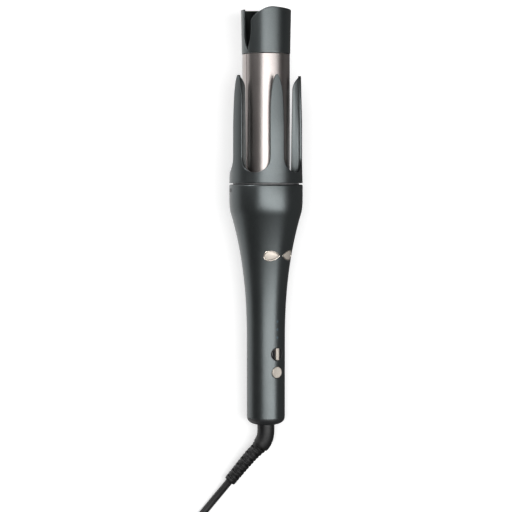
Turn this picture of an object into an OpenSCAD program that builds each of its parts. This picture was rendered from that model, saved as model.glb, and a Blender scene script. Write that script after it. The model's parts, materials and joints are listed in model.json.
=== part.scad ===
// Automatic hair curler with a heated barrel and a motor-driven claw ring, lying on a table.
// The tool is drawn upright (tip up, buttons facing -Y) and laid down by lay_down().

/* [Handle sleeve] */
// Radius of the straight grip
grip_r = 14.35; // [14:0.05:14.6]
// Radius of the widest part, under the claws
body_r = 27.6; // [27.3:0.1:28]
// Wall thickness of the sleeve
sleeve_wall = 1.8; // [1.6:0.1:2]
// Height of the seam between the tail cap and the sleeve
tail_seam_s = 5; // [4.5:0.5:5.5]
// Height where the grip starts to flare
flare_start_s = 60; // [55:1:62]
// Height where the flare meets the rounded shoulder
flare_end_s = 161; // [160:0.5:162]
// Height of the sleeve's upper rim
sleeve_top_s = 180.8; // [180.5:0.1:181]

/* [Claw ring] */
// Number of claws
claw_count = 5; // [3:1:6]
// Height of the claw tips
claw_tip_s = 262; // [258:1:266]
// Height of the bottom of the gaps between the claws
gap_bottom_s = 189.8; // [189.5:0.1:191]
// Half width of a claw
claw_half_w = 5.9; // [5:0.1:6.5]
// Thickness of the inner rib of a claw
rib_t = 2.4; // [2:0.1:3]

/* [Barrel and tip] */
// Outer radius of the heated barrel
barrel_r = 17.8; // [17.5:0.1:18]
// Height of the joint between the barrel and the tip cap
barrel_top_s = 278; // [275:1:280]
// Height of the highest point of the tip cap
tip_top_s = 312.2; // [308:0.2:316]

/* [Controls] */
// Height of the two leaf-shaped buttons
leaf_s = 128; // [126:0.5:130]
// Angle from the front to the middle of each leaf button
leaf_angle = 22.75; // [22.5:0.25:24]
// Height of the selector
selector_s = 54; // [52:0.5:56]
// Height of the power button
power_s = 40.3; // [38:0.1:41]
// Height of the middle indicator light
light_s = 72.5; // [70:0.5:75]
// Travel of every button
button_travel = 0.8; // [0.5:0.1:0.8]

/* [Gears] */
// Gear module
gear_m = 1; // [1:1:1]
// Teeth of the ring gear
ring_teeth = 44; // [44:1:44]
// Teeth of the idler gear
idler_teeth = 12; // [12:1:12]
// Teeth of the motor's pinion
pinion_teeth = 10; // [10:1:10]

/* [Cord] */
// Diameter of the mains cord
cord_d = 5.6; // [5.4:0.1:5.6]
// Radius of the outermost turn of the coil
coil_r = 45; // [44:0.5:46]

/* [Placing] */
// Angle by which the lying tool is rolled to its right
roll = 36; // [30:1:42]
// Distance from the tail to the part's origin
origin_s = 155.9; // [155:0.1:157]

/* [Hidden] */
$fn = 64;

shell_color = [0.36, 0.37, 0.38];
champagne = [0.85, 0.78, 0.72];
dark = [0.13, 0.13, 0.14];
steel = [0.72, 0.73, 0.75];
board_green = [0.10, 0.32, 0.20];
brass_color = [0.80, 0.65, 0.35];
ceramic_color = [0.93, 0.92, 0.88];
wire_color = [0.75, 0.20, 0.15];
slip = 0.01;                    // depth by which cutters run past a face

// Sleeve profile
shoulder_s = 170;
shoulder_drop = 0.6;
flare_power = 2.4;
neck_bore_r = 25.4;             // sleeve bore round the ring gear
flare_steps = 22;

// Drive train
ring_pitch_r = ring_teeth * gear_m / 2;
idler_pitch_r = idler_teeth * gear_m / 2;
pinion_pitch_r = pinion_teeth * gear_m / 2;
idler_offset = ring_pitch_r - idler_pitch_r;
motor_offset = idler_offset - idler_pitch_r - pinion_pitch_r;
gear_s = 170.5;
gear_h = 7;
pressure_angle = 25;
addendum = 0.8 * gear_m;
dedendum = 1.05 * gear_m;
backlash = 0.2;

// Claws
claw_mid_r = 27;                // radius at which the claw's half width is measured
taper_l = 27;                   // length of the tapering tip of a claw

// Decks and flanges
deck_s = 165;
deck_t = 3;
deck_r = 25.2;
base_s = 178.6;
base_t = 2.4;
ring_bottom_s = 181.9;
ring_neck_r = 24.8;
bore_clearance = 0.05;
collar_r = 19.9;
web_top_s = 185.5;
post_angles = [0, 110, -110];
post_ring_r = 14.5;
post_r = 2.6;
lead_angle = 45;
lead_ring_r = 12.5;
gearbox_screw_x = 5.6;
gearbox_bottom_s = 146;
ring_screw_ring_r = 22.8;
self_tap_r = 1.05;              // hole for the thread of a small screw

// Board
board_f = 7;                    // distance from the axis to the back of the control board
board_t = 1.2;
board_bottom_s = 24;
board_top_s = 116;
board_half_w = 9;

// Controls and lights
selector_r = 4.6;
power_r = 4.2;
rim_w = 0.55;
hole_gap = 0.2;                 // gap round a rim in the sleeve
light_pitch = 6;
light_r = 0.9;
mark_angle = -110;              // where the index mark sits round the shoulder
mark_s = 176.5;
mark_r = 1.4;
cradle_f = 9.8;                 // distance from the axis to the back of the leaf switches

// Cord clamp
clamp_screw_x = 6;
clamp_screw_s = 17.5;
clamp_screw_r = 1.05;

// Cord route on the table, from the tail outlet to the coil, in the part's own frame
relief_route = [[0, -155.9, 13.9], [0, -161, 13.5], [-0.6, -166, 13], [-2.6, -170.5, 12.5],
    [-6.2, -174.9, 11.9], [-10.6, -179.4, 11], [-14.6, -184, 10.1], [-18.3, -188.5, 9.1],
    [-ring_screw_ring_r, -194.1, 7.8], [-27.4, -199.8, 6.4]];
run_route = [[-27.4, -199.8, 6.4], [-33.3, -207, 4.8], [-39.5, -214.5, 3.5], [-46, -222.4, 2.9],
    [-55.6, -233.8, 2.8], [-65.5, -246, 2.8]];
coil_center = [-31, -275];
coil_pitch = cord_d + 0.05;
coil_top_r = coil_r - 1.5 * coil_pitch;
coil_top_z = 7.65;
coil_h = 10.5;
tail_leaves = 140;
tail_rises = 100;
tail_bend_r = 20;
tail_center = coil_center + (coil_top_r - tail_bend_r) * [cos(tail_leaves), sin(tail_leaves)];
plug_x = tail_center[0];
plug_y = tail_center[1] - tail_bend_r;
plug_axis_z = coil_h + 6.9;
tail_rise = plug_axis_z - coil_top_z;
tail_route = [for (a = [tail_leaves : 13 : 270])
    [tail_center[0] + tail_bend_r * cos(a), tail_center[1] + tail_bend_r * sin(a),
        coil_top_z + tail_rise * smooth((a - tail_rises) / (270 - tail_rises))]];

function smooth(u) = u * u * (3 - 2 * u);

// Outer radius of the sleeve at height s
function sleeve_r(s) =
    s < flare_start_s ? grip_r :
    s < flare_end_s ? grip_r + (body_r - shoulder_drop - grip_r)
        * pow((s - flare_start_s) / (flare_end_s - flare_start_s), flare_power) :
    s < shoulder_s ? body_r - shoulder_drop * pow((shoulder_s - s) / (shoulder_s - flare_end_s), 2) :
    body_r;

function sleeve_bore_r(s) = min(sleeve_r(s) - sleeve_wall, neck_bore_r);

function sleeve_heights(low, high) = [
    low,
    for (i = [0:flare_steps])
        let (s = flare_start_s + (shoulder_s - flare_start_s) * i / flare_steps)
        if (s > low && s < high) s,
    high
];

// The tool rests on the rim of its grip and on its shoulder
rest_s = 164.7;
rest_tilt = atan((sleeve_r(rest_s) - grip_r) / (rest_s - tail_seam_s));
rest_z = grip_r * cos(rest_tilt) - tail_seam_s * sin(rest_tilt);

module lay_down() {
    translate([0, -origin_s, rest_z])
        rotate([rest_tilt, 0, 0])
            rotate([0, roll, 0])
                rotate([-90, 0, 0])
                    children();
}

// Turns a shape that faces the front to the given angle, positive to the right
module at_angle(a) {
    rotate([0, 0, a]) children();
}

// Extrudes a flat outline (x across, y up the tool) forwards, from f_low to f_high off the axis
module forwards(f_low, f_high) {
    translate([0, -f_low, 0])
        rotate([90, 0, 0])
            linear_extrude(f_high - f_low)
                children();
}

// A solid of revolution that follows the sleeve's surface, grown by g
module sleeve_form(low, high, g) {
    heights = sleeve_heights(low, high);
    rotate_extrude()
        polygon(concat([[0, low]], [for (s = heights) [sleeve_r(s) + g, s]], [[0, high]]));
}

// A leaf outline with its point towards +x, grown by g
module leaf_outline(g = 0) {
    half_h = 3.9;
    blunt_x = -2.6;
    point_r = 10.5;
    widest_x = -1.4;
    translate([blunt_x, 0])
        circle(half_h + g);
    translate([blunt_x, -half_h - g])
        square([widest_x - blunt_x, 2 * (half_h + g)]);
    intersection() {
        translate([widest_x, half_h - point_r])
            circle(point_r + g);
        translate([widest_x, point_r - half_h])
            circle(point_r + g);
        translate([widest_x - slip, -half_h - 1])
            square([point_r, 2 * half_h + 2]);
    }
}

module leaf_at(side, g = 0) {
    translate([0, leaf_s])
        mirror([side > 0 ? 1 : 0, 0])
            leaf_outline(g);
}

// Involute gear outline with a tooth on the +x axis; thin is taken off each tooth
function involute(a) = tan(a) * 180 / PI - a;

module gear_outline(teeth, tip, root, thin) {
    pitch_r = teeth * gear_m / 2;
    base_r = pitch_r * cos(pressure_angle);
    steps = 5;
    flank_low = max(base_r, pitch_r - root);
    half = 90 / teeth - thin / pitch_r * 90 / PI + involute(pressure_angle);
    flank = [for (i = [0:steps])
        let (r = flank_low + (pitch_r + tip - flank_low) * i / steps)
        [r, half - involute(acos(base_r / r))]];
    polygon([for (t = [0:teeth - 1], side = [-1, 1], i = [0:steps + 1])
        let (k = side < 0 ? i : steps + 1 - i)
        let (p = k == 0 ? [pitch_r - root, flank[0][1]] : flank[k - 1])
        let (a = t * 360 / teeth + side * p[1])
        [p[0] * cos(a), p[0] * sin(a)]]);
}

// A round tube along a list of points: radii is one radius for each point, and level is a direction
// that the route never runs along
module swept(points, radii, sides, level = [0, 0, 1]) {
    n = len(points);
    rings = [for (i = [0:n - 1])
        let (ahead = points[min(i + 1, n - 1)] - points[max(i - 1, 0)])
        let (along = ahead / norm(ahead))
        let (flat = cross(along, level))
        let (side = flat / norm(flat))
        let (up = cross(side, along))
        [for (k = [0:sides - 1])
            points[i] + radii[i] * (cos(360 * k / sides) * side + sin(360 * k / sides) * up)]];
    polyhedron(
        points = [for (ring = rings) each ring],
        faces = concat(
            [[for (k = [sides - 1:-1:0]) k]],
            [for (i = [0:n - 2], k = [0:sides - 1])
                let (next = (k + 1) % sides)
                [i * sides + k, i * sides + next, (i + 1) * sides + next, (i + 1) * sides + k]],
            [[for (k = [0:sides - 1]) (n - 1) * sides + k]]),
        convexity = 6);
}

// Points on a smooth curve through the given ones, with the given number of steps for each span
function curve(p, steps) = [
    for (i = [0:len(p) - 2], j = [0:steps - 1])
        let (a = p[max(i - 1, 0)], b = p[i], c = p[i + 1], d = p[min(i + 2, len(p) - 1)], t = j / steps)
        0.5 * (2 * b + (c - a) * t + (2 * a - 5 * b + 4 * c - d) * t * t
            + (3 * b - a - 3 * c + d) * t * t * t),
    p[len(p) - 1]
];

// ---- Handle ----

// A round cutter that runs forwards from the axis
module front_drill(s, r) {
    translate([0, 0, s])
        rotate([90, 0, 0])
            cylinder(r = r, h = 20);
}

module handle_sleeve() {
    rim_round = 0.8;
    heights = sleeve_heights(tail_seam_s, sleeve_top_s - rim_round);
    outer = [for (s = heights) [sleeve_r(s), s]];
    rim = [for (a = [30:30:90])
        [body_r - rim_round * (1 - cos(a)), sleeve_top_s - rim_round * (1 - sin(a))]];
    bore = [for (s = sleeve_heights(tail_seam_s, sleeve_top_s)) [sleeve_bore_r(s), s]];
    count = len(bore);
    color(shell_color)
        lay_down()
            difference() {
                rotate_extrude()
                    polygon(concat(outer, rim, [for (i = [count - 1:-1:0]) bore[i]]));
                for (side = [-1, 1])
                    at_angle(side * leaf_angle)
                        forwards(14, 26)
                            leaf_at(side, 0.05);
                front_drill(selector_s, selector_r + rim_w + hole_gap);
                front_drill(power_s, power_r + rim_w + hole_gap);
                for (i = [-1:1])
                    front_drill(light_s + light_pitch * i, light_r + 0.05);
                at_angle(mark_angle)
                    translate([0, -body_r + 1, mark_s])
                        rotate([90, 0, 0])
                            cylinder(r = mark_r + 0.05, h = 4);
            }
}

module index_mark() {
    color(dark)
        lay_down()
            at_angle(mark_angle)
                translate([0, -body_r + 1, mark_s])
                    rotate([90, 0, 0])
                        cylinder(r = mark_r, h = 1.3);
}

module tail_cap() {
    face_r = 7.4;
    spigot_r = grip_r - sleeve_wall - 0.05;
    edge_r = grip_r - 0.15;
    rise = tail_seam_s - 0.1;
    spigot_top_s = 12;
    spigot_wall = 1.4;
    floor_s = 3.2;
    cord_hole_r = 6.6;
    arc = [for (a = [0:15:90]) [face_r + (edge_r - face_r) * sin(a), rise * (1 - cos(a))]];
    color(dark)
        lay_down()
            rotate_extrude()
                polygon(concat(arc, [[edge_r, tail_seam_s], [spigot_r, tail_seam_s],
                    [spigot_r, spigot_top_s], [spigot_r - spigot_wall, spigot_top_s],
                    [spigot_r - spigot_wall, floor_s], [cord_hole_r, floor_s], [cord_hole_r, 0]]));
}

module chassis_tray() {
    tray_r = 12.3;
    tray_wall = 1.3;
    bottom_s = 14;
    tray_l = 97;
    lug_w = 4;
    bays = [[13, 9], [24, 25], [51, 31], [84, 28]];   // height and length of each hollow between ribs
    color(dark)
        lay_down() {
            for (side = [-1, 1])
                difference() {
                    intersection() {
                        translate([side * clamp_screw_x - lug_w / 2, 2.6, 15.2])
                            cube([lug_w, 10, 4.6]);
                        translate([0, 0, bottom_s])
                            cylinder(r = tray_r - 0.1, h = 8);
                    }
                    translate([side * clamp_screw_x, 6, clamp_screw_s])
                        rotate([90, 0, 0])
                            cylinder(r = clamp_screw_r, h = 5);
                }
            difference() {
                translate([0, 0, bottom_s])
                    cylinder(r = tray_r, h = tray_l);
                for (bay = bays)
                    translate([0, 0, bay[0]])
                        cylinder(r = tray_r - tray_wall, h = bay[1]);
                translate([-20, -25, 13])
                    cube([40, 25 - board_f + 0.05, 100]);
                translate([-3, -8, 13])
                    cube([6, 12, 80]);
            }
        }
}

module control_board() {
    hole_r = 0.9;
    hole_x = 7;
    hole_inset = 3;
    color(board_green)
        lay_down()
            difference() {
                translate([-board_half_w, -board_f - board_t, board_bottom_s])
                    cube([2 * board_half_w, board_t, board_top_s - board_bottom_s]);
                for (s = [board_bottom_s + hole_inset, board_top_s - hole_inset], side = [-1, 1])
                    translate([side * hole_x, -board_f + 1, s])
                        rotate([90, 0, 0])
                            cylinder(r = hole_r, h = 5);
            }
}

// A block on the board: corner [across, height], size [width, thickness, length], on its front or back
module board_block(corner, size, on_front = true) {
    translate([corner[0], on_front ? -board_f - board_t - size[1] : -board_f, corner[1]])
        cube(size);
}

module board_parts() {
    capacitor_r = 4.2;
    capacitor_l = 18;
    capacitor_s = 62;
    color([0.25, 0.25, 0.28])
        lay_down() {
            // Smoothing capacitor on its side, with the foot that joins it to the board
            translate([0, 1.2, capacitor_s])
                cylinder(r = capacitor_r, h = capacitor_l);
            board_block([-1, 66], [2, 3.6, 10], false);
            // Driver chips
            board_block([-6.5, 84], [7, 1.6, 9]);
            board_block([2.5, 86], [4, 1.2, 5]);
            board_block([3.5, 66], [3, 0.9, 6]);
            // Connector and film capacitor
            board_block([-6.2, 27], [12.4, 2.4, 6]);
            board_block([-6, 84], [12, 5, 8], false);
        }
}

// A small push switch whose back is at f, with its plunger
module switch_body(s, f) {
    body_w = 6;
    body_t = 1.4;
    plunger_r = 1.2;
    translate([-body_w / 2, -f - body_t, s - body_w / 2])
        cube([body_w, body_t, body_w]);
    translate([0, -f - body_t + 0.1, s])
        rotate([90, 0, 0])
            cylinder(r = plunger_r, h = 0.6);
}

module switches() {
    encoder_w = 7;
    encoder_t = 2.6;
    color(steel)
        lay_down() {
            switch_body(power_s, board_f + board_t);
            for (side = [-1, 1])
                at_angle(side * leaf_angle)
                    switch_body(leaf_s, cradle_f);
            difference() {
                translate([-encoder_w / 2, -board_f - board_t - encoder_t, selector_s - encoder_w / 2])
                    cube([encoder_w, encoder_t, encoder_w]);
                translate([0, -9, selector_s])
                    rotate([90, 0, 0])
                        cylinder(r = 1.45, h = 6);
            }
        }
}

module switch_cradle() {
    cradle_w = 8.4;
    cradle_t = 1.4;
    cradle_l = 10;
    half_box = 20;
    color(dark)
        lay_down()
            for (side = [-1, 1])
                intersection() {
                    at_angle(side * leaf_angle)
                        translate([-cradle_w / 2, -cradle_f, leaf_s - cradle_l / 2])
                            cube([cradle_w, cradle_t, cradle_l]);
                    translate([side < 0 ? -half_box : 0.05, -half_box, leaf_s - 6])
                        cube([half_box - 0.05, half_box, 12]);
                }
}

module indicator_leds() {
    led_w = 1.6;
    led_t = 0.7;
    color([0.95, 0.95, 0.85])
        lay_down()
            for (i = [-1:1])
                translate([-led_w / 2, -board_f - board_t - led_t, light_s + light_pitch * i - 0.5])
                    cube([led_w, led_t, 1]);
}

module light_pipes() {
    pipe_back_f = 9.3;
    bridge_f = 9.4;
    bridge_t = 1.2;
    bridge_w = 3;
    bridge_l = 15;
    color([0.9, 0.9, 0.92])
        lay_down() {
            for (i = [-1:1])
                translate([0, -pipe_back_f, light_s + light_pitch * i])
                    rotate([90, 0, 0])
                        cylinder(r = light_r, h = grip_r + 0.1 - pipe_back_f);
            translate([-bridge_w / 2, -bridge_f - bridge_t, light_s - bridge_l / 2])
                cube([bridge_w, bridge_t, bridge_l]);
        }
}

// ---- Controls ----

module selector() {
    disc_f = 12.3;
    disc_t = 1.6;
    hub_r = 2.4;
    hub_f = 11.4;
    stem_r = 1.4;
    stem_f = 9.4;
    color(dark)
        lay_down()
            translate([0, 0, selector_s])
                rotate([90, 0, 0]) {
                    translate([0, 0, disc_f])
                        cylinder(r = selector_r, h = disc_t);
                    translate([0, 0, hub_f])
                        cylinder(r = hub_r, h = 1);
                    translate([0, 0, stem_f])
                        cylinder(r = stem_r, h = 2.1);
                }
}

module selector_bar() {
    bar_w = 2.5;
    bar_f = 15.3;
    bar_t = 1.4;
    crown_r = 9;
    color(champagne)
        lay_down()
            intersection() {
                translate([-bar_w / 2, -bar_f, selector_s - selector_r])
                    cube([bar_w, bar_t, 2 * selector_r]);
                translate([0, 0, selector_s])
                    rotate([90, 0, 0])
                        cylinder(r = selector_r - 0.05, h = 16);
                translate([0, crown_r - bar_f, selector_s - 6])
                    cylinder(r = crown_r, h = 12);
            }
}

// A rim that follows the grip's surface round a round control
module rim_ring(s, inner_r) {
    intersection() {
        translate([0, 0, s])
            rotate([90, 0, 0])
                difference() {
                    cylinder(r = inner_r + rim_w, h = 20);
                    translate([0, 0, -1])
                        cylinder(r = inner_r, h = 22);
                }
        difference() {
            translate([0, 0, s - 8])
                cylinder(r = grip_r + 0.25, h = 16);
            translate([0, 0, s - 9])
                cylinder(r = grip_r - 1.7, h = 18);
        }
    }
}

module selector_bezel() {
    color(champagne)
        lay_down()
            rim_ring(selector_s, selector_r + 0.15);
}

module power_bezel() {
    color(champagne)
        lay_down()
            rim_ring(power_s, power_r + 0.15);
}

module power_button() {
    back_f = 11.2;
    flange_f = 10.9;
    flange_t = 0.45;
    color(champagne)
        lay_down() {
            intersection() {
                translate([0, -back_f, power_s])
                    rotate([90, 0, 0])
                        cylinder(r = power_r, h = 5);
                translate([0, 0, power_s - 6])
                    cylinder(r = grip_r + 0.15, h = 12);
            }
            translate([0, -flange_f, power_s])
                rotate([90, 0, 0])
                    cylinder(r = power_r + 0.55, h = flange_t);
        }
}

module leaf_button(side) {
    inset = 0.9;
    flange_w = 7;
    flange_l = 8.8;
    stem_f = 12.7;
    stem_r = 1.3;
    lay_down()
        at_angle(side * leaf_angle) {
            intersection() {
                forwards(15.2, 24)
                    leaf_at(side, -inset);
                sleeve_form(leaf_s - 8, leaf_s + 8, 0.2);
            }
            forwards(14.6, 15.3)
                translate([-flange_w / 2, leaf_s - flange_l / 2])
                    square([flange_w, flange_l]);
            translate([0, -stem_f, leaf_s])
                rotate([90, 0, 0])
                    cylinder(r = stem_r, h = 2);
        }
}

module left_button() {
    color(champagne)
        leaf_button(-1);
}

module right_button() {
    color(champagne)
        leaf_button(1);
}

module leaf_bezels() {
    rim_in = 0.75;
    proud = 0.3;
    depth = 1.7;
    color(champagne)
        lay_down()
            for (side = [-1, 1])
                at_angle(side * leaf_angle)
                    intersection() {
                        difference() {
                            forwards(14, 26)
                                leaf_at(side);
                            forwards(13, 27)
                                leaf_at(side, -rim_in);
                        }
                        difference() {
                            sleeve_form(leaf_s - 9, leaf_s + 9, proud);
                            sleeve_form(leaf_s - 10, leaf_s + 10, -depth);
                        }
                    }
}

// ---- Mains entry ----

module cord_clamp() {
    clamp_w = 17;
    clamp_t = 6.5;
    clamp_l = 5;
    saddle_r = 2.9;
    color(dark)
        lay_down()
            difference() {
                translate([-clamp_w / 2, -4, 15])
                    cube([clamp_w, clamp_t, clamp_l]);
                translate([0, 0, 14])
                    cylinder(r = saddle_r, h = 7);
                for (side = [-1, 1])
                    translate([side * clamp_screw_x, 5, clamp_screw_s])
                        rotate([90, 0, 0])
                            cylinder(r = clamp_screw_r, h = 10);
            }
}

module clamp_screws() {
    shank_l = 9;
    head_r = 1.9;
    head_t = 1.2;
    color(steel)
        lay_down()
            for (side = [-1, 1])
                translate([side * clamp_screw_x, 5, clamp_screw_s])
                    rotate([90, 0, 0]) {
                        cylinder(r = clamp_screw_r - 0.05, h = shank_l);
                        translate([0, 0, shank_l])
                            cylinder(r = head_r, h = head_t);
                    }
}

module mains_leads() {
    lead_r = 0.8;
    color(wire_color)
        lay_down()
            for (side = [-1, 1])
                swept(curve([[side * 1.2, 0, 12], [side * 1.2, -0.2, 17], [side * 1.4, -1, 22],
                    [side * 1.6, -3.2, 25], [side * 1.8, -6, 27.5]], 2),
                    [for (i = [0:8]) lead_r], 8, [1, 0, 0]);
}

// ---- Drive ----

module motor() {
    color(steel)
        lay_down()
            translate([0, motor_offset, 0]) {
                translate([0, 0, 117.5])
                    cylinder(r = 7.8, h = 28.5);
                translate([0, 0, 115])
                    cylinder(r = 3, h = 3);
            }
}

module gearbox() {
    color(brass_color)
        lay_down()
            difference() {
                translate([0, motor_offset, gearbox_bottom_s])
                    cylinder(r = 8, h = deck_s - gearbox_bottom_s);
                translate([0, motor_offset, 160])
                    cylinder(r = 1.55, h = 6);
                for (side = [-1, 1])
                    translate([side * gearbox_screw_x, motor_offset, 161])
                        cylinder(r = self_tap_r, h = 5);
            }
}

module gearbox_screws() {
    color(steel)
        lay_down()
            for (side = [-1, 1])
                translate([side * gearbox_screw_x, motor_offset, 161.5]) {
                    cylinder(r = 1, h = 7);
                    translate([0, 0, 6.5])
                        cylinder(r = 1.8, h = 1.2);
                }
}

module motor_leads() {
    lead_r = 0.6;
    color(wire_color)
        lay_down()
            for (side = [-1, 1])
                swept(curve([[side * 4.6, 2, 117.3], [side * 4.6, 1.6, 115], [side * 4.6, -2, 112],
                    [side * 4.6, -5, 110.4], [side * 4.6, -6.9, 110]], 2),
                    [for (i = [0:8]) lead_r], 8, [1, 0, 0]);
}

module drive_deck() {
    color(dark)
        lay_down()
            difference() {
                translate([0, 0, deck_s])
                    cylinder(r = deck_r, h = deck_t);
                translate([0, motor_offset, deck_s - 1])
                    cylinder(r = 2.4, h = deck_t + 2);
                translate([0, idler_offset, deck_s - 1])
                    cylinder(r = 1.45, h = deck_t + 2);
                for (side = [-1, 1])
                    translate([side * gearbox_screw_x, motor_offset, deck_s - 1])
                        cylinder(r = self_tap_r, h = deck_t + 2);
                for (a = post_angles)
                    at_angle(a)
                        translate([0, -post_ring_r, deck_s - 1])
                            cylinder(r = 1.3, h = deck_t + 2);
                at_angle(lead_angle)
                    translate([0, -lead_ring_r, deck_s - 1])
                        cylinder(r = 2.6, h = deck_t + 2);
            }
}

module drive_pinion() {
    color(brass_color)
        lay_down()
            translate([0, motor_offset, 0]) {
                translate([0, 0, gear_s])
                    linear_extrude(gear_h)
                        rotate(90 + 180 / pinion_teeth)
                            gear_outline(pinion_teeth, addendum, dedendum, backlash);
                translate([0, 0, 161])
                    cylinder(r = 1.5, h = gear_s - 160.5);
            }
}

module idler_gear() {
    color([0.9, 0.9, 0.86])
        lay_down()
            translate([0, idler_offset, gear_s])
                difference() {
                    linear_extrude(gear_h)
                        rotate(90)
                            gear_outline(idler_teeth, addendum, dedendum, backlash);
                    translate([0, 0, -1])
                        cylinder(r = 1.45, h = gear_h + 2);
                }
}

module idler_pin() {
    color(steel)
        lay_down()
            translate([0, idler_offset, deck_s])
                cylinder(r = 1.4, h = base_s - deck_s - 0.1);
}

module ring_gear() {
    top = ring_bottom_s;
    color([0.9, 0.9, 0.86])
        lay_down()
            difference() {
                translate([0, 0, gear_s - 0.5])
                    cylinder(r = ring_neck_r, h = top - gear_s + 0.5);
                translate([0, 0, gear_s - 1])
                    linear_extrude(gear_h + 1.2)
                        rotate(90)
                            gear_outline(ring_teeth, dedendum, addendum, -backlash);
                translate([0, 0, gear_s + gear_h])
                    cylinder(r = 20.6, h = 10);
                for (i = [0:claw_count - 1])
                    at_angle(-90 + i * 360 / claw_count)
                        translate([0, -ring_screw_ring_r, gear_s + gear_h])
                            cylinder(r = 0.85, h = 10);
            }
}

module ring_screws() {
    color(steel)
        lay_down()
            for (i = [0:claw_count - 1])
                at_angle(-90 + i * 360 / claw_count)
                    translate([0, -ring_screw_ring_r, 178.4])
                        cylinder(r = 0.8, h = 6.2);
}

module barrel_base() {
    tube_top_s = 196;
    color(dark)
        lay_down()
            difference() {
                union() {
                    translate([0, 0, base_s])
                        cylinder(r = 18, h = base_t);
                    translate([0, 0, base_s + base_t - slip])
                        cylinder(r = 16.4, h = tube_top_s - base_s - base_t);
                    for (a = post_angles)
                        at_angle(a)
                            translate([0, -post_ring_r, deck_s + deck_t])
                                cylinder(r = post_r, h = base_s - deck_s - deck_t + slip);
                }
                translate([0, 0, base_s + base_t])
                    cylinder(r = 14.6, h = 20);
                for (a = post_angles)
                    at_angle(a)
                        translate([0, -post_ring_r, deck_s])
                            cylinder(r = self_tap_r, h = 12);
                at_angle(lead_angle)
                    translate([0, -lead_ring_r, base_s - 1])
                        cylinder(r = 1.9, h = base_t + 2);
            }
}

module base_screws() {
    color(steel)
        lay_down()
            for (a = post_angles)
                at_angle(a)
                    translate([0, -post_ring_r, deck_s - 1.3]) {
                        cylinder(r = 2, h = 1.2);
                        translate([0, 0, 1])
                            cylinder(r = 1, h = 11);
                    }
}

module bearing_collar() {
    bottom_s = 179.2;
    collar_l = 7;
    bore_r = 18.02;
    color([0.9, 0.9, 0.86])
        lay_down()
            difference() {
                translate([0, 0, bottom_s])
                    cylinder(r = collar_r, h = collar_l);
                translate([0, 0, bottom_s - 0.2])
                    cylinder(r = bore_r, h = collar_l + 1);
            }
}

module retaining_ring() {
    color(steel)
        lay_down()
            difference() {
                translate([0, 0, 186.25])
                    cylinder(r = 21.4, h = 1);
                translate([0, 0, 186])
                    cylinder(r = barrel_r + 0.02, h = 2);
            }
}

// ---- Claw ring ----

function claw_r(s) =
    s < 206 ? 27.1 + 0.5 * pow((206 - s) / (206 - ring_bottom_s), 2) :
    s < 225 ? 27.1 :
    27.1 - 0.9 * (s - 225) / (claw_tip_s - 225);

module claw_gap() {
    claw_middle_x = claw_mid_r * sin(180 / claw_count);
    gap_half_w = claw_middle_x - claw_half_w * cos(180 / claw_count);
    taper_s = claw_tip_s - taper_l;
    taper_height = taper_l + 0.3;
    tip_half = [for (a = [0:8:88])
        [claw_middle_x - (claw_middle_x - gap_half_w) * cos(a), taper_s + taper_height * sin(a)]];
    open_s = claw_tip_s + 10;
    translate([0, gap_bottom_s + gap_half_w])
        circle(gap_half_w);
    translate([-gap_half_w, gap_bottom_s + gap_half_w])
        square([2 * gap_half_w, taper_s - gap_bottom_s - gap_half_w + slip]);
    polygon(concat(
        [for (p = tip_half) p],
        [[claw_middle_x, open_s], [-claw_middle_x, open_s]],
        [for (i = [len(tip_half) - 1:-1:0]) [-tip_half[i][0], tip_half[i][1]]]));
}

module claw_rib() {
    foot_s = 188.8;
    nose_low_r = 18.7;
    nose_high_r = 19.7;
    shell_r = 25.6;
    shoulder_top_s = claw_tip_s - 12.2;
    tip_bow = [for (u = [0:0.2:1]) [20.5 + 3.9 * pow(u, 1.5), shoulder_top_s + 10 * u]];
    translate([-rib_t / 2, 0, 0])
        rotate([90, 0, 90])
            linear_extrude(rib_t)
                mirror([1, 0])
                    polygon(concat([[shell_r, web_top_s - 1], [22.3, web_top_s - 1], [22.3, foot_s],
                        [nose_low_r + 0.6, foot_s], [nose_low_r, foot_s + 1.2],
                        [nose_high_r, shoulder_top_s - 0.8]], tip_bow, [[shell_r, claw_tip_s - 2.6]]));
}

module claw_ring() {
    shell_t = 2.2;
    heights = [ring_bottom_s, for (s = [186:4:222]) s, 225, claw_tip_s];
    outer = [for (s = heights) [claw_r(s), s]];
    inner = [for (i = [len(heights) - 1:-1:1]) [claw_r(heights[i]) - shell_t, heights[i]]];
    color(shell_color)
        lay_down()
            difference() {
                union() {
                    difference() {
                        rotate_extrude()
                            polygon(concat(outer, inner,
                                [[25, web_top_s], [collar_r + bore_clearance, web_top_s],
                                [collar_r + bore_clearance, ring_bottom_s]]));
                        for (i = [0:claw_count - 1])
                            at_angle(-90 + (i + 0.5) * 360 / claw_count)
                                forwards(3, 30)
                                    claw_gap();
                    }
                    for (i = [0:claw_count - 1])
                        at_angle(-90 + i * 360 / claw_count)
                            claw_rib();
                }
                for (i = [0:claw_count - 1])
                    at_angle(-90 + i * 360 / claw_count)
                        translate([0, -ring_screw_ring_r, ring_bottom_s - 1])
                            cylinder(r = 0.85, h = 4);
            }
}

// ---- Barrel ----

module barrel() {
    wall = 1.2;
    bottom_s = 181.2;
    color(champagne)
        lay_down()
            difference() {
                translate([0, 0, bottom_s])
                    cylinder(r = barrel_r, h = barrel_top_s - bottom_s, $fn = 96);
                translate([0, 0, bottom_s - 1])
                    cylinder(r = barrel_r - wall, h = barrel_top_s - bottom_s + 2, $fn = 96);
                translate([-barrel_r - 1, -0.3, 188])
                    cube([1.6, 0.6, 100]);
            }
}

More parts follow.
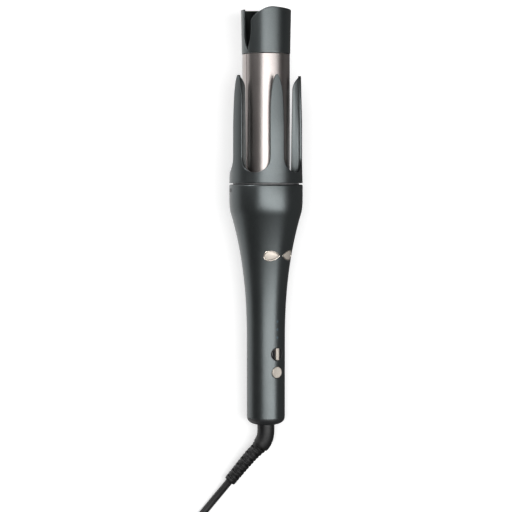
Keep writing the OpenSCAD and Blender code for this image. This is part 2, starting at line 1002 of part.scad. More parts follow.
module heater_cores() {
    color([0.80, 0.80, 0.82])
        lay_down()
            for (side = [-1, 1])
                intersection() {
                    difference() {
                        translate([0, 0, 197])
                            cylinder(r = 16.4, h = 72);
                        translate([0, 0, 196])
                            cylinder(r = 11, h = 74);
                    }
                    translate([side < 0 ? -20 : 4.2, -20, 190])
                        cube([15.8, 40, 90]);
                }
}

module heating_plates() {
    color(ceramic_color)
        lay_down()
            for (i = [0:1])
                translate([-2.4, -9, 202 + i * 32])
                    cube([4.8, 18, 26]);
}

module heater_clip() {
    color(steel)
        lay_down() {
            for (side = [-1, 1])
                translate([side < 0 ? -3.6 : 2.6, -8, 200])
                    cube([1, 16, 62]);
            translate([-3.6, -8, 262])
                cube([7.2, 16, 1]);
        }
}

module thermal_fuse() {
    color([0.85, 0.85, 0.80])
        lay_down()
            translate([7, 3.5, 205])
                cylinder(r = 1.6, h = 12);
}

module temperature_sensor() {
    color([0.15, 0.15, 0.15])
        lay_down()
            translate([-7, 3.5, 215])
                cylinder(r = 1.3, h = 8);
}

module heater_leads() {
    lead_r = 0.6;
    x = lead_ring_r * sin(lead_angle);
    y = -lead_ring_r * cos(lead_angle);
    route = [[7.2, -5.8, 113], [8.6, -4, 118], [9.5, -2.5, 124], [9.5, -2.5, 134], [9.2, -6, 146],
        [x, y, 158],
        [x, y, 176], [x, y, 188], [6, -8.6, 194], [4.9, -7.4, 199]];
    steps = 2;
    color(wire_color)
        lay_down()
            for (side = [-1, 1])
                translate([side * 0.9, 0, 0])
                    swept(curve(route, steps), [for (i = [0:steps * (len(route) - 1)]) lead_r],
                        6, [1, 0, 0]);
}

module tip_insulator() {
    color(ceramic_color)
        lay_down()
            difference() {
                union() {
                    translate([0, 0, 270])
                        cylinder(r = barrel_r - 1.25, h = barrel_top_s - 270);
                    translate([0, 0, barrel_top_s - slip])
                        cylinder(r = 15.9, h = 2);
                }
                translate([0, 0, 269])
                    cylinder(r = 13.5, h = 7);
                translate([0, 0, 270])
                    cylinder(r = 1.25, h = 20);
            }
}

module tip_screw() {
    color(steel)
        lay_down() {
            translate([0, 0, 277])
                cylinder(r = 1.2, h = 6.6);
            translate([0, 0, 283.1])
                cylinder(r = 2.6, h = 1.8);
        }
}

module tip_cap() {
    low_r = 18.1;
    high_r = 18.8;
    wall = 1.7;
    floor_s = barrel_top_s + 5;
    lobe_count = 2;
    lobe_r = 11.2;
    lobe_shift = -7.2;
    lobe_fall = 1.6;
    cut_bottom_s = 284;
    cut_half_w = 20;
    notch_half_w = 4.2;
    notch_bottom_s = 280.6;
    notch_curve_r = 34;
    blend_s = notch_bottom_s + sqrt(pow(notch_curve_r, 2) - pow(notch_curve_r - notch_half_w, 2));
    notch_shift = -87;
    color(shell_color)
        lay_down()
            difference() {
                rotate_extrude()
                    polygon([[1.25, barrel_top_s + 2], [15.95, barrel_top_s + 2], [15.95, barrel_top_s + 0.1],
                        [low_r, barrel_top_s + 0.1], [high_r, tip_top_s], [high_r - wall, tip_top_s],
                        [low_r - wall, floor_s], [1.25, floor_s]]);
                for (i = [0:lobe_count - 1]) {
                    at_angle(notch_shift + i * 360 / lobe_count)
                        forwards(5, 22)
                            union() {
                                intersection() {
                                    translate([notch_half_w - notch_curve_r, blend_s])
                                        circle(notch_curve_r, $fn = 128);
                                    translate([notch_curve_r - notch_half_w, blend_s])
                                        circle(notch_curve_r, $fn = 128);
                                }
                                translate([-notch_half_w, blend_s])
                                    square([2 * notch_half_w, 40]);
                            }
                    at_angle(notch_shift + (i + 0.5) * 360 / lobe_count)
                        forwards(0, 22)
                            difference() {
                                translate([-cut_half_w, cut_bottom_s + 1])
                                    square(2 * cut_half_w);
                                translate([lobe_shift, tip_top_s - lobe_r])
                                    circle(lobe_r, $fn = 96);
                                translate([lobe_shift - lobe_r, cut_bottom_s])
                                    square([lobe_r, tip_top_s - lobe_r - cut_bottom_s]);
                                polygon([[lobe_shift, cut_bottom_s], [lobe_shift, tip_top_s],
                                    [cut_half_w, tip_top_s - lobe_fall], [cut_half_w, cut_bottom_s]]);
                            }
                }
            }
}

// ---- Cord and plug ----

module strain_relief() {
    route = curve(relief_route, 3);
    last = len(route) - 1;
    stem_end = 8;
    stem_r = 6.45;
    step_r = 1.1;
    taper_r = 0.85;
    radii = [for (i = [0:last])
        let (past = max(0, i - stem_end))
        stem_r - step_r * smooth(min(1, past / 4)) - taper_r * past / (last - stem_end)];
    color(dark) {
        swept(route, radii, 20);
        lay_down() {
            translate([0, 0, -0.2])
                cylinder(r = 6.45, h = 3.6);
            translate([0, 0, 3.35])
                cylinder(r = 8, h = 1.8);
        }
    }
}

module cord_run() {
    route = curve(run_route, 1);
    color(dark)
        swept(route, [for (p = route) cord_d / 2], 8);
}

module cord_coil() {
    coil_inner_r = coil_r - 4 * cord_d - 0.2 - cord_d / 2;
    outer_r = coil_r + cord_d / 2;
    color(dark)
        translate([coil_center[0], coil_center[1], 0])
            rotate_extrude()
                polygon([[coil_inner_r, 0], [outer_r, 0], [outer_r, cord_d],
                    [coil_top_r + cord_d / 2, coil_h], [coil_inner_r + cord_d / 2, coil_h],
                    [coil_inner_r, cord_d]]);
}

module cord_tail() {
    color(dark)
        swept(tail_route, [for (p = tail_route) cord_d / 2], 8);
}

module cord_tie() {
    tie_w = 12;
    tie_t = 1.2;
    tie_angle = 60;
    floor_gap = 0.4;
    low_x = coil_r - 4 * cord_d - 0.2 - cord_d / 2;
    span = 4 * cord_d + 0.2 + cord_d;
    color([0.08, 0.08, 0.09])
        translate([coil_center[0], coil_center[1], 0])
            rotate([0, 0, tie_angle])
                difference() {
                    translate([low_x - tie_t, -tie_w / 2, 0])
                        cube([span + 2 * tie_t, tie_w, coil_h + tie_t]);
                    translate([low_x, -tie_w, floor_gap])
                        cube([span, 2 * tie_w, coil_h - floor_gap]);
                }
}

// A round end of the plug's body, across the cord's axis
module plug_end(x, side_y, end_r) {
    translate([x, side_y, 0])
        rotate([0, 90, 0])
            cylinder(r = end_r, h = 2, $fn = 32);
}

module plug_body() {
    neck_l = 27;
    neck_start_r = 3.6;
    neck_end_r = 5;
    back_x = 26;
    face_x = 50;
    color(dark)
        translate([plug_x, plug_y, plug_axis_z]) {
            hull() {
                plug_end(face_x, -12.4, 6.85);
                plug_end(face_x, 12.4, 6.85);
                plug_end(back_x, -6, 5.6);
                plug_end(back_x, 6, 5.6);
            }
            rotate([0, 90, 0])
                cylinder(r1 = neck_start_r, r2 = neck_end_r, h = neck_l);
        }
}

module plug_pins() {
    pin_r = 2;
    pin_l = 18;
    pin_spacing = 18.6;
    face_x = 52;
    color(steel)
        for (side = [-1, 1])
            translate([plug_x + face_x, plug_y + side * pin_spacing / 2, plug_axis_z])
                rotate([0, 90, 0]) {
                    cylinder(r = pin_r, h = pin_l);
                    translate([0, 0, pin_l])
                        cylinder(r1 = pin_r, r2 = pin_r - 1, h = 1);
                }
}

handle_sleeve();
tail_cap();
chassis_tray();
control_board();
board_parts();
switches();
switch_cradle();
indicator_leds();
light_pipes();
selector();
selector_bar();
selector_bezel();
power_button();
power_bezel();
left_button();
right_button();
leaf_bezels();
index_mark();
cord_clamp();
clamp_screws();
mains_leads();
motor();
gearbox();
gearbox_screws();
motor_leads();
drive_deck();
drive_pinion();
idler_gear();
idler_pin();
ring_gear();
ring_screws();
barrel_base();
base_screws();
bearing_collar();
retaining_ring();
claw_ring();
barrel();
heater_cores();
heating_plates();
heater_clip();
thermal_fuse();
temperature_sensor();
heater_leads();
tip_insulator();
tip_screw();
tip_cap();
strain_relief();
cord_run();
cord_coil();
cord_tail();
cord_tie();
plug_body();
plug_pins();
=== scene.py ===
"""Corded automatic hair curler: shells, claws, barrel, controls and cord, dressed round its fixed frame."""
import json
import logging
import math
from contextlib import contextmanager
from dataclasses import dataclass, field
from enum import Enum
from typing import Callable, Iterable, Iterator, Sequence

import bpy
from mathutils import Matrix, Vector


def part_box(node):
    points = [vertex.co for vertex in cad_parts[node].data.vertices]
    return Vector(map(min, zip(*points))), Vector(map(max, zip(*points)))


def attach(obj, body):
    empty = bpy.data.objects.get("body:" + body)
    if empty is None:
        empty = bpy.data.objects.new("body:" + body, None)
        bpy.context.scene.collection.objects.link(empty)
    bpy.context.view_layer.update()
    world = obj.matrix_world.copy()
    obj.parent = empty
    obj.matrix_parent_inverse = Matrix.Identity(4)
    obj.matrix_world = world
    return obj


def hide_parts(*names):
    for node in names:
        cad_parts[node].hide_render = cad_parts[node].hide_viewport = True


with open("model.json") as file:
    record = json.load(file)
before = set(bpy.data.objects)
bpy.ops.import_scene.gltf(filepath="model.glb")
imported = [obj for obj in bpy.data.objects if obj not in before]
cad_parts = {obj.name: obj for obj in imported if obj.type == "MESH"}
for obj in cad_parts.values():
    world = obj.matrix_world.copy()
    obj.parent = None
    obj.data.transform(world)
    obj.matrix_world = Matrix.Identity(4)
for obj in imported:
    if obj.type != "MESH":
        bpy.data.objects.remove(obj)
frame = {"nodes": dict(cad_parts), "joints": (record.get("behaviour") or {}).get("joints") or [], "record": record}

LOG = logging.getLogger("hair_curler")
MM = 0.001
Place = Callable[[float, float], Vector]


class Grain(Enum):
    """How a surface is finished."""

    FINE = "fine even grain"
    TURNED = "fine lines round the tool's axis"
    WOVEN = "woven strap"


# ---------------------------------------------------------------------------
# The tool's own axes
# ---------------------------------------------------------------------------


@dataclass(frozen=True)
class ToolFrame:
    """Where the lying tool is: heights run along it from the tail, and the buttons face the front."""

    tail: Vector
    axis: Vector
    front: Vector

    @classmethod
    def from_joints(cls, joints: Sequence[dict]) -> "ToolFrame":
        """Reads the axes from the claw ring's and the selector's joints.

        Args:
            joints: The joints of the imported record.

        Returns:
            The frame whose origin is the tail end of the axis.
        """
        ring_joint_height = 184 * MM
        by_name = {joint["name"]: joint for joint in joints}
        axis = Vector(by_name["claw_spin"]["axis"]).normalized()
        front = Vector(by_name["selector_turn"]["axis"]).normalized()
        tail = Vector(by_name["claw_spin"]["pos_m"]) - axis * ring_joint_height
        return cls(tail, axis, front)

    def matrix(self) -> Matrix:
        """Finds how an upright piece (tip up, front towards -Y) is laid down on the table.

        Returns:
            The matrix.
        """
        back = -self.front
        side = back.cross(self.axis)
        turned = Matrix((side, back, self.axis)).transposed().to_4x4()
        return Matrix.Translation(self.tail) @ turned

    def lay(self, piece: bpy.types.Object) -> bpy.types.Object:
        """Lays an upright piece down, with its place kept in its mesh.

        Args:
            piece: A mesh object modelled upright.

        Returns:
            The same piece.
        """
        piece.matrix_world = self.matrix()
        select_only([piece])
        bpy.ops.object.transform_apply(location=True, rotation=True, scale=True)
        return piece


TOOL = ToolFrame.from_joints(frame["joints"])


# ---------------------------------------------------------------------------
# Bench helpers
# ---------------------------------------------------------------------------


def select_only(pieces: Iterable[bpy.types.Object]) -> None:
    """Selects just these pieces and makes the first one active.

    Args:
        pieces: The objects to select.
    """
    if bpy.context.object is not None and bpy.context.object.mode != "OBJECT":
        bpy.ops.object.mode_set(mode="OBJECT")
    bpy.ops.object.select_all(action="DESELECT")
    chosen = list(pieces)
    for piece in chosen:
        piece.select_set(True)
    if chosen:
        bpy.context.view_layer.objects.active = chosen[0]


def name_new(name: str) -> bpy.types.Object:
    """Names the primitive that was just added and puts its place into its mesh.

    Args:
        name: The piece's name.

    Returns:
        The new object.
    """
    piece = bpy.context.object
    piece.name = name
    piece.data.name = name
    bpy.ops.object.transform_apply(location=True, rotation=True, scale=True)
    return piece


def put(name: str, data: bpy.types.ID) -> bpy.types.Object:
    """Puts new data into the scene as an object, and returns the object."""
    piece = bpy.data.objects.new(name, data)
    bpy.context.scene.collection.objects.link(piece)
    return piece


def apply_modifier(piece: bpy.types.Object, kind: str, **settings: object) -> None:
    """Adds a modifier with its settings and applies it.

    Args:
        piece: The mesh object.
        kind: Blender's name of the modifier type.
        **settings: The modifier's properties.
    """
    modifier = piece.modifiers.new(kind.title(), kind)
    for key, value in settings.items():
        setattr(modifier, key, value)
    select_only([piece])
    bpy.ops.object.modifier_apply(modifier=modifier.name)


def soften(piece: bpy.types.Object, width: float, segments: int, degrees: float = 50,
           clamp: bool = False) -> None:
    """Rounds the edges of a piece that are sharper than an angle.

    Args:
        piece: The mesh object.
        width: The width of the rounding.
        segments: Faces across the rounding.
        degrees: The sharpest angle that stays as it is.
        clamp: Whether the rounding narrows where edges come close.
    """
    apply_modifier(piece, "BEVEL", width=width, segments=segments, limit_method="ANGLE",
                   angle_limit=math.radians(degrees), use_clamp_overlap=clamp)


def shade(piece: bpy.types.Object, degrees: float = 40) -> None:
    """Shades a piece smooth except across edges sharper than the angle.

    Args:
        piece: The mesh object.
        degrees: The sharpest angle that still looks smooth.
    """
    select_only([piece])
    bpy.ops.object.shade_smooth_by_angle(angle=math.radians(degrees))


@contextmanager
def editing(piece: bpy.types.Object, kind: str = "FACE",
            wanted: Callable[[bpy.types.bpy_struct], bool] | None = None) -> Iterator[None]:
    """Opens a piece in edit mode with some or all of it selected, and closes it afterwards.

    Args:
        piece: The mesh object.
        kind: The select mode: VERT, EDGE or FACE.
        wanted: The test on a face, or on a point in VERT mode. Everything is selected without it.

    Returns:
        The context, for a with statement.
    """
    select_only([piece])
    bpy.ops.object.mode_set(mode="EDIT")
    bpy.ops.mesh.select_mode(type=kind)
    bpy.ops.mesh.select_all(action="DESELECT" if wanted else "SELECT")
    if wanted:
        bpy.ops.object.mode_set(mode="OBJECT")
        for element in (piece.data.vertices if kind == "VERT" else piece.data.polygons):
            element.select = wanted(element)
        bpy.ops.object.mode_set(mode="EDIT")
    yield
    bpy.ops.object.mode_set(mode="OBJECT")


def clean(piece: bpy.types.Object, outward: bool = True) -> None:
    """Merges doubled points and, if asked, turns the faces outwards.

    Args:
        piece: The mesh object.
        outward: Whether the normals are recalculated.
    """
    merge_distance = 0.02 * MM
    with editing(piece):
        bpy.ops.mesh.remove_doubles(threshold=merge_distance)
        if outward:
            bpy.ops.mesh.normals_make_consistent(inside=False)


def join(pieces: Sequence[bpy.types.Object], name: str) -> bpy.types.Object:
    """Joins mesh objects into the first one.

    Args:
        pieces: The objects to join.
        name: The name of the result.

    Returns:
        The joined object.
    """
    select_only(pieces)
    bpy.ops.object.join()
    joined = bpy.context.object
    joined.name = name
    return joined


def spread_round(piece: bpy.types.Object, first: float, count: int) -> list[bpy.types.Object]:
    """Replaces an upright piece by copies of it, turned evenly about the tool's axis.

    Args:
        piece: The piece, which is removed.
        first: The turn of the first copy in degrees, seen from the tip.
        count: How many copies.

    Returns:
        The copies.
    """
    copies = []
    for i in range(count):
        twin = put(piece.name, piece.data.copy())
        twin.data.transform(Matrix.Rotation(math.radians(first + i * 360 / count), 4, "Z"))
        copies.append(twin)
    bpy.data.objects.remove(piece)
    return copies


def around(degrees: float, radius: float, height: float) -> Vector:
    """Returns the point at an angle from the front, a radius and a height on the upright tool."""
    turn = math.radians(degrees)
    return Vector((radius * math.sin(turn), -radius * math.cos(turn), height))


def lathe(name: str, profile: Sequence[tuple[float, float]], sides: int = 96) -> bpy.types.Object:
    """Turns a profile: a circle is extruded and resized from ring to ring.

    Args:
        name: The piece's name.
        profile: (radius, height) of each ring, in metres.
        sides: The number of points round each ring.

    Returns:
        The upright piece, closed wherever the profile closes.
    """
    radius, height = profile[0]
    select_only([])
    bpy.ops.mesh.primitive_circle_add(vertices=sides, radius=radius, location=(0, 0, height))
    piece = name_new(name)
    with editing(piece, "EDGE"):
        for next_radius, next_height in profile[1:]:
            bpy.ops.mesh.extrude_region_move(TRANSFORM_OT_translate={"value": (0, 0, next_height - height)})
            ratio = next_radius / radius
            bpy.ops.transform.resize(value=(ratio, ratio, 1), center_override=(0, 0, next_height))
            radius, height = next_radius, next_height
    clean(piece)
    return piece


def panel(name: str, columns: int, rows: int, place: Place) -> bpy.types.Object:
    """Lays a grid of faces over a curved surface, such as a claw's back.

    Args:
        name: The piece's name.
        columns: Faces across.
        rows: Faces up.
        place: Gives the place of the point at column and row shares from 0 to 1.

    Returns:
        The panel, one face thick.
    """
    select_only([])
    bpy.ops.mesh.primitive_grid_add(x_subdivisions=columns, y_subdivisions=rows, size=1)
    piece = name_new(name)
    for point in piece.data.vertices:
        point.co = place(point.co.x + 0.5, point.co.y + 0.5)
    return piece


def plate(name: str, outline: Sequence[Vector], push: Vector) -> bpy.types.Object:
    """Fills an outline and extrudes it into a plate.

    Args:
        name: The piece's name.
        outline: The points of the outline.
        push: The direction and depth of the extrusion.

    Returns:
        The closed plate.
    """
    select_only([])
    bpy.ops.mesh.primitive_circle_add(vertices=len(outline), radius=1, fill_type="NGON")
    piece = name_new(name)
    for point, target in zip(piece.data.vertices, outline):
        point.co = target
    with editing(piece):
        bpy.ops.mesh.extrude_region_move(TRANSFORM_OT_translate={"value": push})
    clean(piece)
    return piece


def tube(name: str, points: Sequence[Vector], radii: Sequence[float], closed: bool = False,
         sides: int = 12) -> bpy.types.Object:
    """Draws a round tube along points and makes it a mesh.

    Args:
        name: The piece's name.
        points: The centreline.
        radii: The radius at each point.
        closed: Whether the tube runs round to its start.
        sides: The number of faces round the tube.

    Returns:
        The mesh tube with closed ends.
    """
    curve = bpy.data.curves.new(name, "CURVE")
    curve.dimensions = "3D"
    curve.bevel_depth = 1
    curve.bevel_resolution = sides // 4
    curve.use_fill_caps = not closed
    curve.twist_mode = "Z_UP"
    spline = curve.splines.new("POLY")
    spline.points.add(len(points) - 1)
    spline.use_cyclic_u = closed
    for spot, place, radius in zip(spline.points, points, radii):
        spot.co = (*place, 1)
        spot.radius = radius
    select_only([put(name, curve)])
    bpy.ops.object.convert(target="MESH")
    piece = bpy.context.object
    clean(piece)
    return piece


def drill(name: str, radius: float, depth: float, middle: tuple[float, float, float],
          sides: int) -> bpy.types.Object:
    """Makes a cylinder that cuts straight into the front of the upright tool.

    Args:
        name: The cutting tool's name.
        radius: Its radius.
        depth: Its length.
        middle: Its middle.
        sides: The number of faces round it.

    Returns:
        The cutting tool.
    """
    select_only([])
    bpy.ops.mesh.primitive_cylinder_add(vertices=sides, radius=radius, depth=depth, location=middle,
                                        rotation=(math.pi / 2, 0, 0))
    return name_new(name)


def carve(piece: bpy.types.Object, cutters: Sequence[bpy.types.Object]) -> None:
    """Cuts the shapes of some tools out of a piece and removes the tools.

    Args:
        piece: The mesh object that is cut.
        cutters: Closed mesh objects.
    """
    for cutter in cutters:
        apply_modifier(piece, "BOOLEAN", operation="DIFFERENCE", solver="EXACT", object=cutter)
        bpy.data.objects.remove(cutter)


def smooth_curve(points: Sequence[Vector], steps: int) -> list[Vector]:
    """Runs a smooth line through points, with a number of steps in each span.

    Args:
        points: The points to pass through.
        steps: Steps from each point to the next.

    Returns:
        The points of the smooth line.
    """
    found = []
    for i in range(len(points) - 1):
        a, b, c, d = points[max(i - 1, 0)], points[i], points[i + 1], points[min(i + 2, len(points) - 1)]
        for j in range(steps):
            t = j / steps
            found.append(0.5 * (2 * b + (c - a) * t + (2 * a - 5 * b + 4 * c - d) * t ** 2
                                + (3 * b - a - 3 * c + d) * t ** 3))
    found.append(points[-1])
    return found


def eased(value: float, start: float, end: float) -> float:
    """Goes softly from 0 to 1 while a value goes from start to end."""
    share = min(1.0, max(0.0, (value - start) / (end - start)))
    return share * share * (3 - 2 * share)


def spoke(degrees: float, reach: float) -> Vector:
    """Returns the level vector of a length at an angle from +X."""
    return Vector((reach * math.cos(math.radians(degrees)), reach * math.sin(math.radians(degrees)), 0))


def in_metres(route: Sequence[tuple[float, float, float]]) -> list[Vector]:
    """Returns the points of a route that is given in millimetres."""
    return [Vector(point) * MM for point in route]


def arc(middle: tuple[float, float], radius: float, start: float, end: float,
        steps: int) -> list[tuple[float, float]]:
    """Returns points on an arc in a profile: angle 0 points outwards and 90 degrees up."""
    turns = [math.radians(start + (end - start) * i / steps) for i in range(steps + 1)]
    return [(middle[0] + radius * math.cos(t), middle[1] + radius * math.sin(t)) for t in turns]


# ---------------------------------------------------------------------------
# Finishes
# ---------------------------------------------------------------------------


class Nodes:
    """A small builder of shader nodes in one tree."""

    def __init__(self, tree: bpy.types.NodeTree) -> None:
        """Keeps the tree that nodes are added to."""
        self.tree = tree

    def add(self, kind: str, settings: dict | None = None, **inputs: object) -> bpy.types.Node:
        """Adds a node.

        Args:
            kind: The node's type.
            settings: Properties of the node itself.
            **inputs: Values or output sockets for the inputs, by name with underscores for spaces.

        Returns:
            The node.
        """
        node = self.tree.nodes.new(kind)
        for key, value in (settings or {}).items():
            setattr(node, key, value)
        for key, value in inputs.items():
            self.feed(node.inputs[key.replace("_", " ")], value)
        return node

    def feed(self, socket: bpy.types.NodeSocket, value: object) -> None:
        """Links an output socket into an input, or sets the input to a value."""
        if isinstance(value, bpy.types.NodeSocket):
            self.tree.links.new(value, socket)
        else:
            socket.default_value = value

    def math(self, operation: str, first: object, second: object = 0.0) -> bpy.types.NodeSocket:
        """Adds a maths node and returns its result."""
        node = self.add("ShaderNodeMath", {"operation": operation})
        for socket, value in zip(node.inputs, (first, second)):
            self.feed(socket, value)
        return node.outputs[0]

    def remap(self, value: bpy.types.NodeSocket, low: object, high: object, start: float = 0.0,
              end: float = 1.0) -> bpy.types.NodeSocket:
        """Maps a value from start..end to low..high and returns the result."""
        node = self.add("ShaderNodeMapRange", Value=value, From_Min=start, From_Max=end, To_Min=low,
                        To_Max=high)
        return node.outputs["Result"]

    def mix(self, share: object, base: object, over: object, blend: str = "MIX") -> bpy.types.NodeSocket:
        """Mixes one colour over another by a share.

        Args:
            share: How much of the second colour shows.
            base: The first colour.
            over: The second colour.
            blend: The node's blend type.

        Returns:
            The mixed colour.
        """
        node = self.add("ShaderNodeMix", {"data_type": "RGBA", "blend_type": blend})
        for label, value in (("Factor", share), ("A", base), ("B", over)):
            self.feed(node.inputs[label], value)
        return node.outputs["Result"]


def new_group(name: str, inputs: dict[str, tuple[str, object]], outputs: dict[str, str]) -> tuple:
    """Starts a shader node group with named sockets.

    Args:
        name: The group's name.
        inputs: Socket type and first value by name.
        outputs: Socket type by name.

    Returns:
        The group, a node builder for it, its input node and its output node.
    """
    group = bpy.data.node_groups.new(name, "ShaderNodeTree")
    for label, (kind, value) in inputs.items():
        socket = group.interface.new_socket(name=label, in_out="INPUT", socket_type=kind)
        socket.default_value = value
    for label, kind in outputs.items():
        group.interface.new_socket(name=label, in_out="OUTPUT", socket_type=kind)
    nodes = Nodes(group)
    return group, nodes, nodes.add("NodeGroupInput"), nodes.add("NodeGroupOutput")


class SurfaceGroups:
    """The effects that several finishes share, each built once as a node group."""

    def __init__(self) -> None:
        """Builds the groups."""
        self.grain = self._grain()
        self.wear = self._wear()
        self.turned = self._turned()
        self.weave = self._weave()

    @staticmethod
    def _grain() -> bpy.types.NodeTree:
        """Builds fine grain with broad smudges: a height and a share for roughness.

        Returns:
            The group.
        """
        group, nodes, given, out = new_group(
            "fine_grain", {"Scale": ("NodeSocketFloat", 2600.0), "Smudge": ("NodeSocketFloat", 0.25)},
            {"Height": "NodeSocketFloat", "Rough": "NodeSocketFloat", "Tone": "NodeSocketFloat"})
        place = nodes.add("ShaderNodeTexCoord").outputs["Object"]
        fine = nodes.add("ShaderNodeTexNoise", Vector=place, Scale=given.outputs["Scale"], Detail=3.0)
        broad = nodes.add("ShaderNodeTexNoise", Vector=place, Scale=38.0, Detail=5.0, Roughness=0.62,
                          Distortion=0.6)
        speck_scale, speck_height = 0.35, 0.3
        specks = nodes.add("ShaderNodeTexVoronoi", Vector=place,
                           Scale=nodes.math("MULTIPLY", given.outputs["Scale"], speck_scale))
        height = nodes.math("ADD", fine.outputs["Fac"],
                            nodes.math("MULTIPLY", specks.outputs["Distance"], speck_height))
        smudge = nodes.math("MULTIPLY", nodes.math("SUBTRACT", broad.outputs["Fac"], 0.5),
                            given.outputs["Smudge"])
        links = group.links
        links.new(height, out.inputs["Height"])
        links.new(smudge, out.inputs["Rough"])
        links.new(nodes.remap(fine.outputs["Fac"], 0.86, 1.12, 0.3, 0.7), out.inputs["Tone"])
        return group

    @staticmethod
    def _wear() -> bpy.types.NodeTree:
        """Builds rubbed edges and a little dust on what faces up.

        Returns:
            The group.
        """
        group, nodes, given, out = new_group(
            "edge_wear", {"Amount": ("NodeSocketFloat", 0.4), "Dust": ("NodeSocketFloat", 0.05)},
            {"Edge": "NodeSocketFloat", "Dust": "NodeSocketFloat"})
        geometry = nodes.add("ShaderNodeNewGeometry")
        place = nodes.add("ShaderNodeTexCoord").outputs["Object"]
        patch = nodes.add("ShaderNodeTexNoise", Vector=place, Scale=160.0, Detail=6.0, Roughness=0.7)
        sharp = nodes.remap(geometry.outputs["Pointiness"], 0.0, 1.0, 0.53, 0.66)
        worn = nodes.math("MULTIPLY", sharp, nodes.remap(patch.outputs["Fac"], 0.0, 1.0, 0.35, 0.65))
        up = nodes.add("ShaderNodeSeparateXYZ", Vector=geometry.outputs["Normal"]).outputs["Z"]
        settled = nodes.math("MULTIPLY", nodes.remap(up, 0.0, 1.0, 0.55, 1.0),
                             nodes.remap(patch.outputs["Fac"], 0.0, 1.0, 0.45, 0.8))
        group.links.new(nodes.math("MULTIPLY", worn, given.outputs["Amount"]), out.inputs["Edge"])
        group.links.new(nodes.math("MULTIPLY", settled, given.outputs["Dust"]), out.inputs["Dust"])
        return group

    @staticmethod
    def _turned() -> bpy.types.NodeTree:
        """Builds the fine lines that turning and polishing leave round the tool's axis.

        Returns:
            The group.
        """
        group, nodes, given, out = new_group(
            "turned_lines", {"Pitch": ("NodeSocketFloat", 2200.0)},
            {"Height": "NodeSocketFloat", "Rough": "NodeSocketFloat"})
        place = nodes.add("ShaderNodeTexCoord").outputs["Object"]
        along = nodes.add("ShaderNodeMapping", Vector=place, Scale=(0.02, 1.0, 0.02))
        lines = nodes.add("ShaderNodeTexNoise", Vector=along.outputs["Vector"], Scale=given.outputs["Pitch"],
                          Detail=4.0, Roughness=0.6)
        group.links.new(lines.outputs["Fac"], out.inputs["Height"])
        group.links.new(nodes.remap(lines.outputs["Fac"], -0.012, 0.012, 0.3, 0.7), out.inputs["Rough"])
        return group

    @staticmethod
    def _weave() -> bpy.types.NodeTree:
        """Builds the over-and-under of a woven strap.

        Returns:
            The group.
        """
        group, nodes, given, out = new_group(
            "strap_weave", {"Scale": ("NodeSocketFloat", 900.0)},
            {"Height": "NodeSocketFloat", "Tone": "NodeSocketFloat"})
        place = nodes.add("ShaderNodeTexCoord").outputs["Object"]
        warp, weft = (nodes.add("ShaderNodeTexWave", {"bands_direction": direction}, Vector=place,
                                Scale=given.outputs["Scale"]).outputs["Fac"] for direction in "XY")
        both = nodes.math("MAXIMUM", warp, weft)
        group.links.new(both, out.inputs["Height"])
        group.links.new(nodes.remap(both, 0.55, 1.15), out.inputs["Tone"])
        return group


@dataclass(frozen=True)
class Finish:
    """One finish: its colour, how it reflects, and its texture."""

    name: str
    color: tuple[float, float, float]
    metallic: float = 0.0
    roughness: float = 0.45
    grain: Grain = Grain.FINE
    grain_scale: float = 2600.0
    bump: float = 0.05
    smudge: float = 0.12
    wear: float = 0.3
    worn_color: tuple[float, float, float] = (0.5, 0.5, 0.5)
    dust: float = 0.03
    coat: float = 0.0
    sheen: float = 0.0

    def build(self, groups: SurfaceGroups) -> bpy.types.Material:
        """Makes the material.

        Args:
            groups: The shared node groups.

        Returns:
            The node material.
        """
        material = bpy.data.materials.new(self.name)
        material.use_nodes = True
        tree = material.node_tree
        tree.nodes.clear()
        nodes = Nodes(tree)
        coat_roughness, least_roughness = 0.18, 0.04
        dust_color, dust_roughness = (0.55, 0.53, 0.5), 0.8
        bump_depth = 0.05 * MM
        shader = nodes.add("ShaderNodeBsdfPrincipled", Metallic=self.metallic, IOR=1.5, Coat_Weight=self.coat,
                           Coat_Roughness=coat_roughness, Sheen_Weight=self.sheen)
        nodes.add("ShaderNodeOutputMaterial", Surface=shader.outputs["BSDF"])
        wear = self._placed(nodes, groups.wear, Amount=self.wear, Dust=self.dust)
        grain = self._placed(nodes, groups.grain, Scale=self.grain_scale, Smudge=self.smudge)
        height, rough, tone = grain.outputs["Height"], grain.outputs["Rough"], grain.outputs["Tone"]
        if self.grain is Grain.TURNED:
            lines = self._placed(nodes, groups.turned, Pitch=self.grain_scale)
            height = lines.outputs["Height"]
            rough = nodes.math("ADD", rough, lines.outputs["Rough"])
        elif self.grain is Grain.WOVEN:
            weave = self._placed(nodes, groups.weave, Scale=self.grain_scale)
            height, tone = weave.outputs["Height"], weave.outputs["Tone"]
        toned = nodes.add("ShaderNodeCombineColor", Red=tone, Green=tone, Blue=tone).outputs["Color"]
        base = nodes.mix(1.0, (*self.color, 1), toned, "MULTIPLY")
        worn = nodes.mix(wear.outputs["Edge"], base, (*self.worn_color, 1))
        dusty = nodes.mix(wear.outputs["Dust"], worn, (*dust_color, 1))
        tree.links.new(dusty, shader.inputs["Base Color"])
        roughened = nodes.math("ADD", nodes.math("ADD", rough, self.roughness),
                               nodes.math("MULTIPLY", wear.outputs["Dust"], dust_roughness))
        tree.links.new(nodes.math("MAXIMUM", roughened, least_roughness), shader.inputs["Roughness"])
        bump = nodes.add("ShaderNodeBump", Strength=self.bump, Distance=bump_depth, Height=height)
        tree.links.new(bump.outputs["Normal"], shader.inputs["Normal"])
        return material

    @staticmethod
    def _placed(nodes: Nodes, group: bpy.types.NodeTree, **inputs: float) -> bpy.types.Node:
        """Places a shared group in the material with its own values."""
        return nodes.add("ShaderNodeGroup", {"node_tree": group}, **inputs)

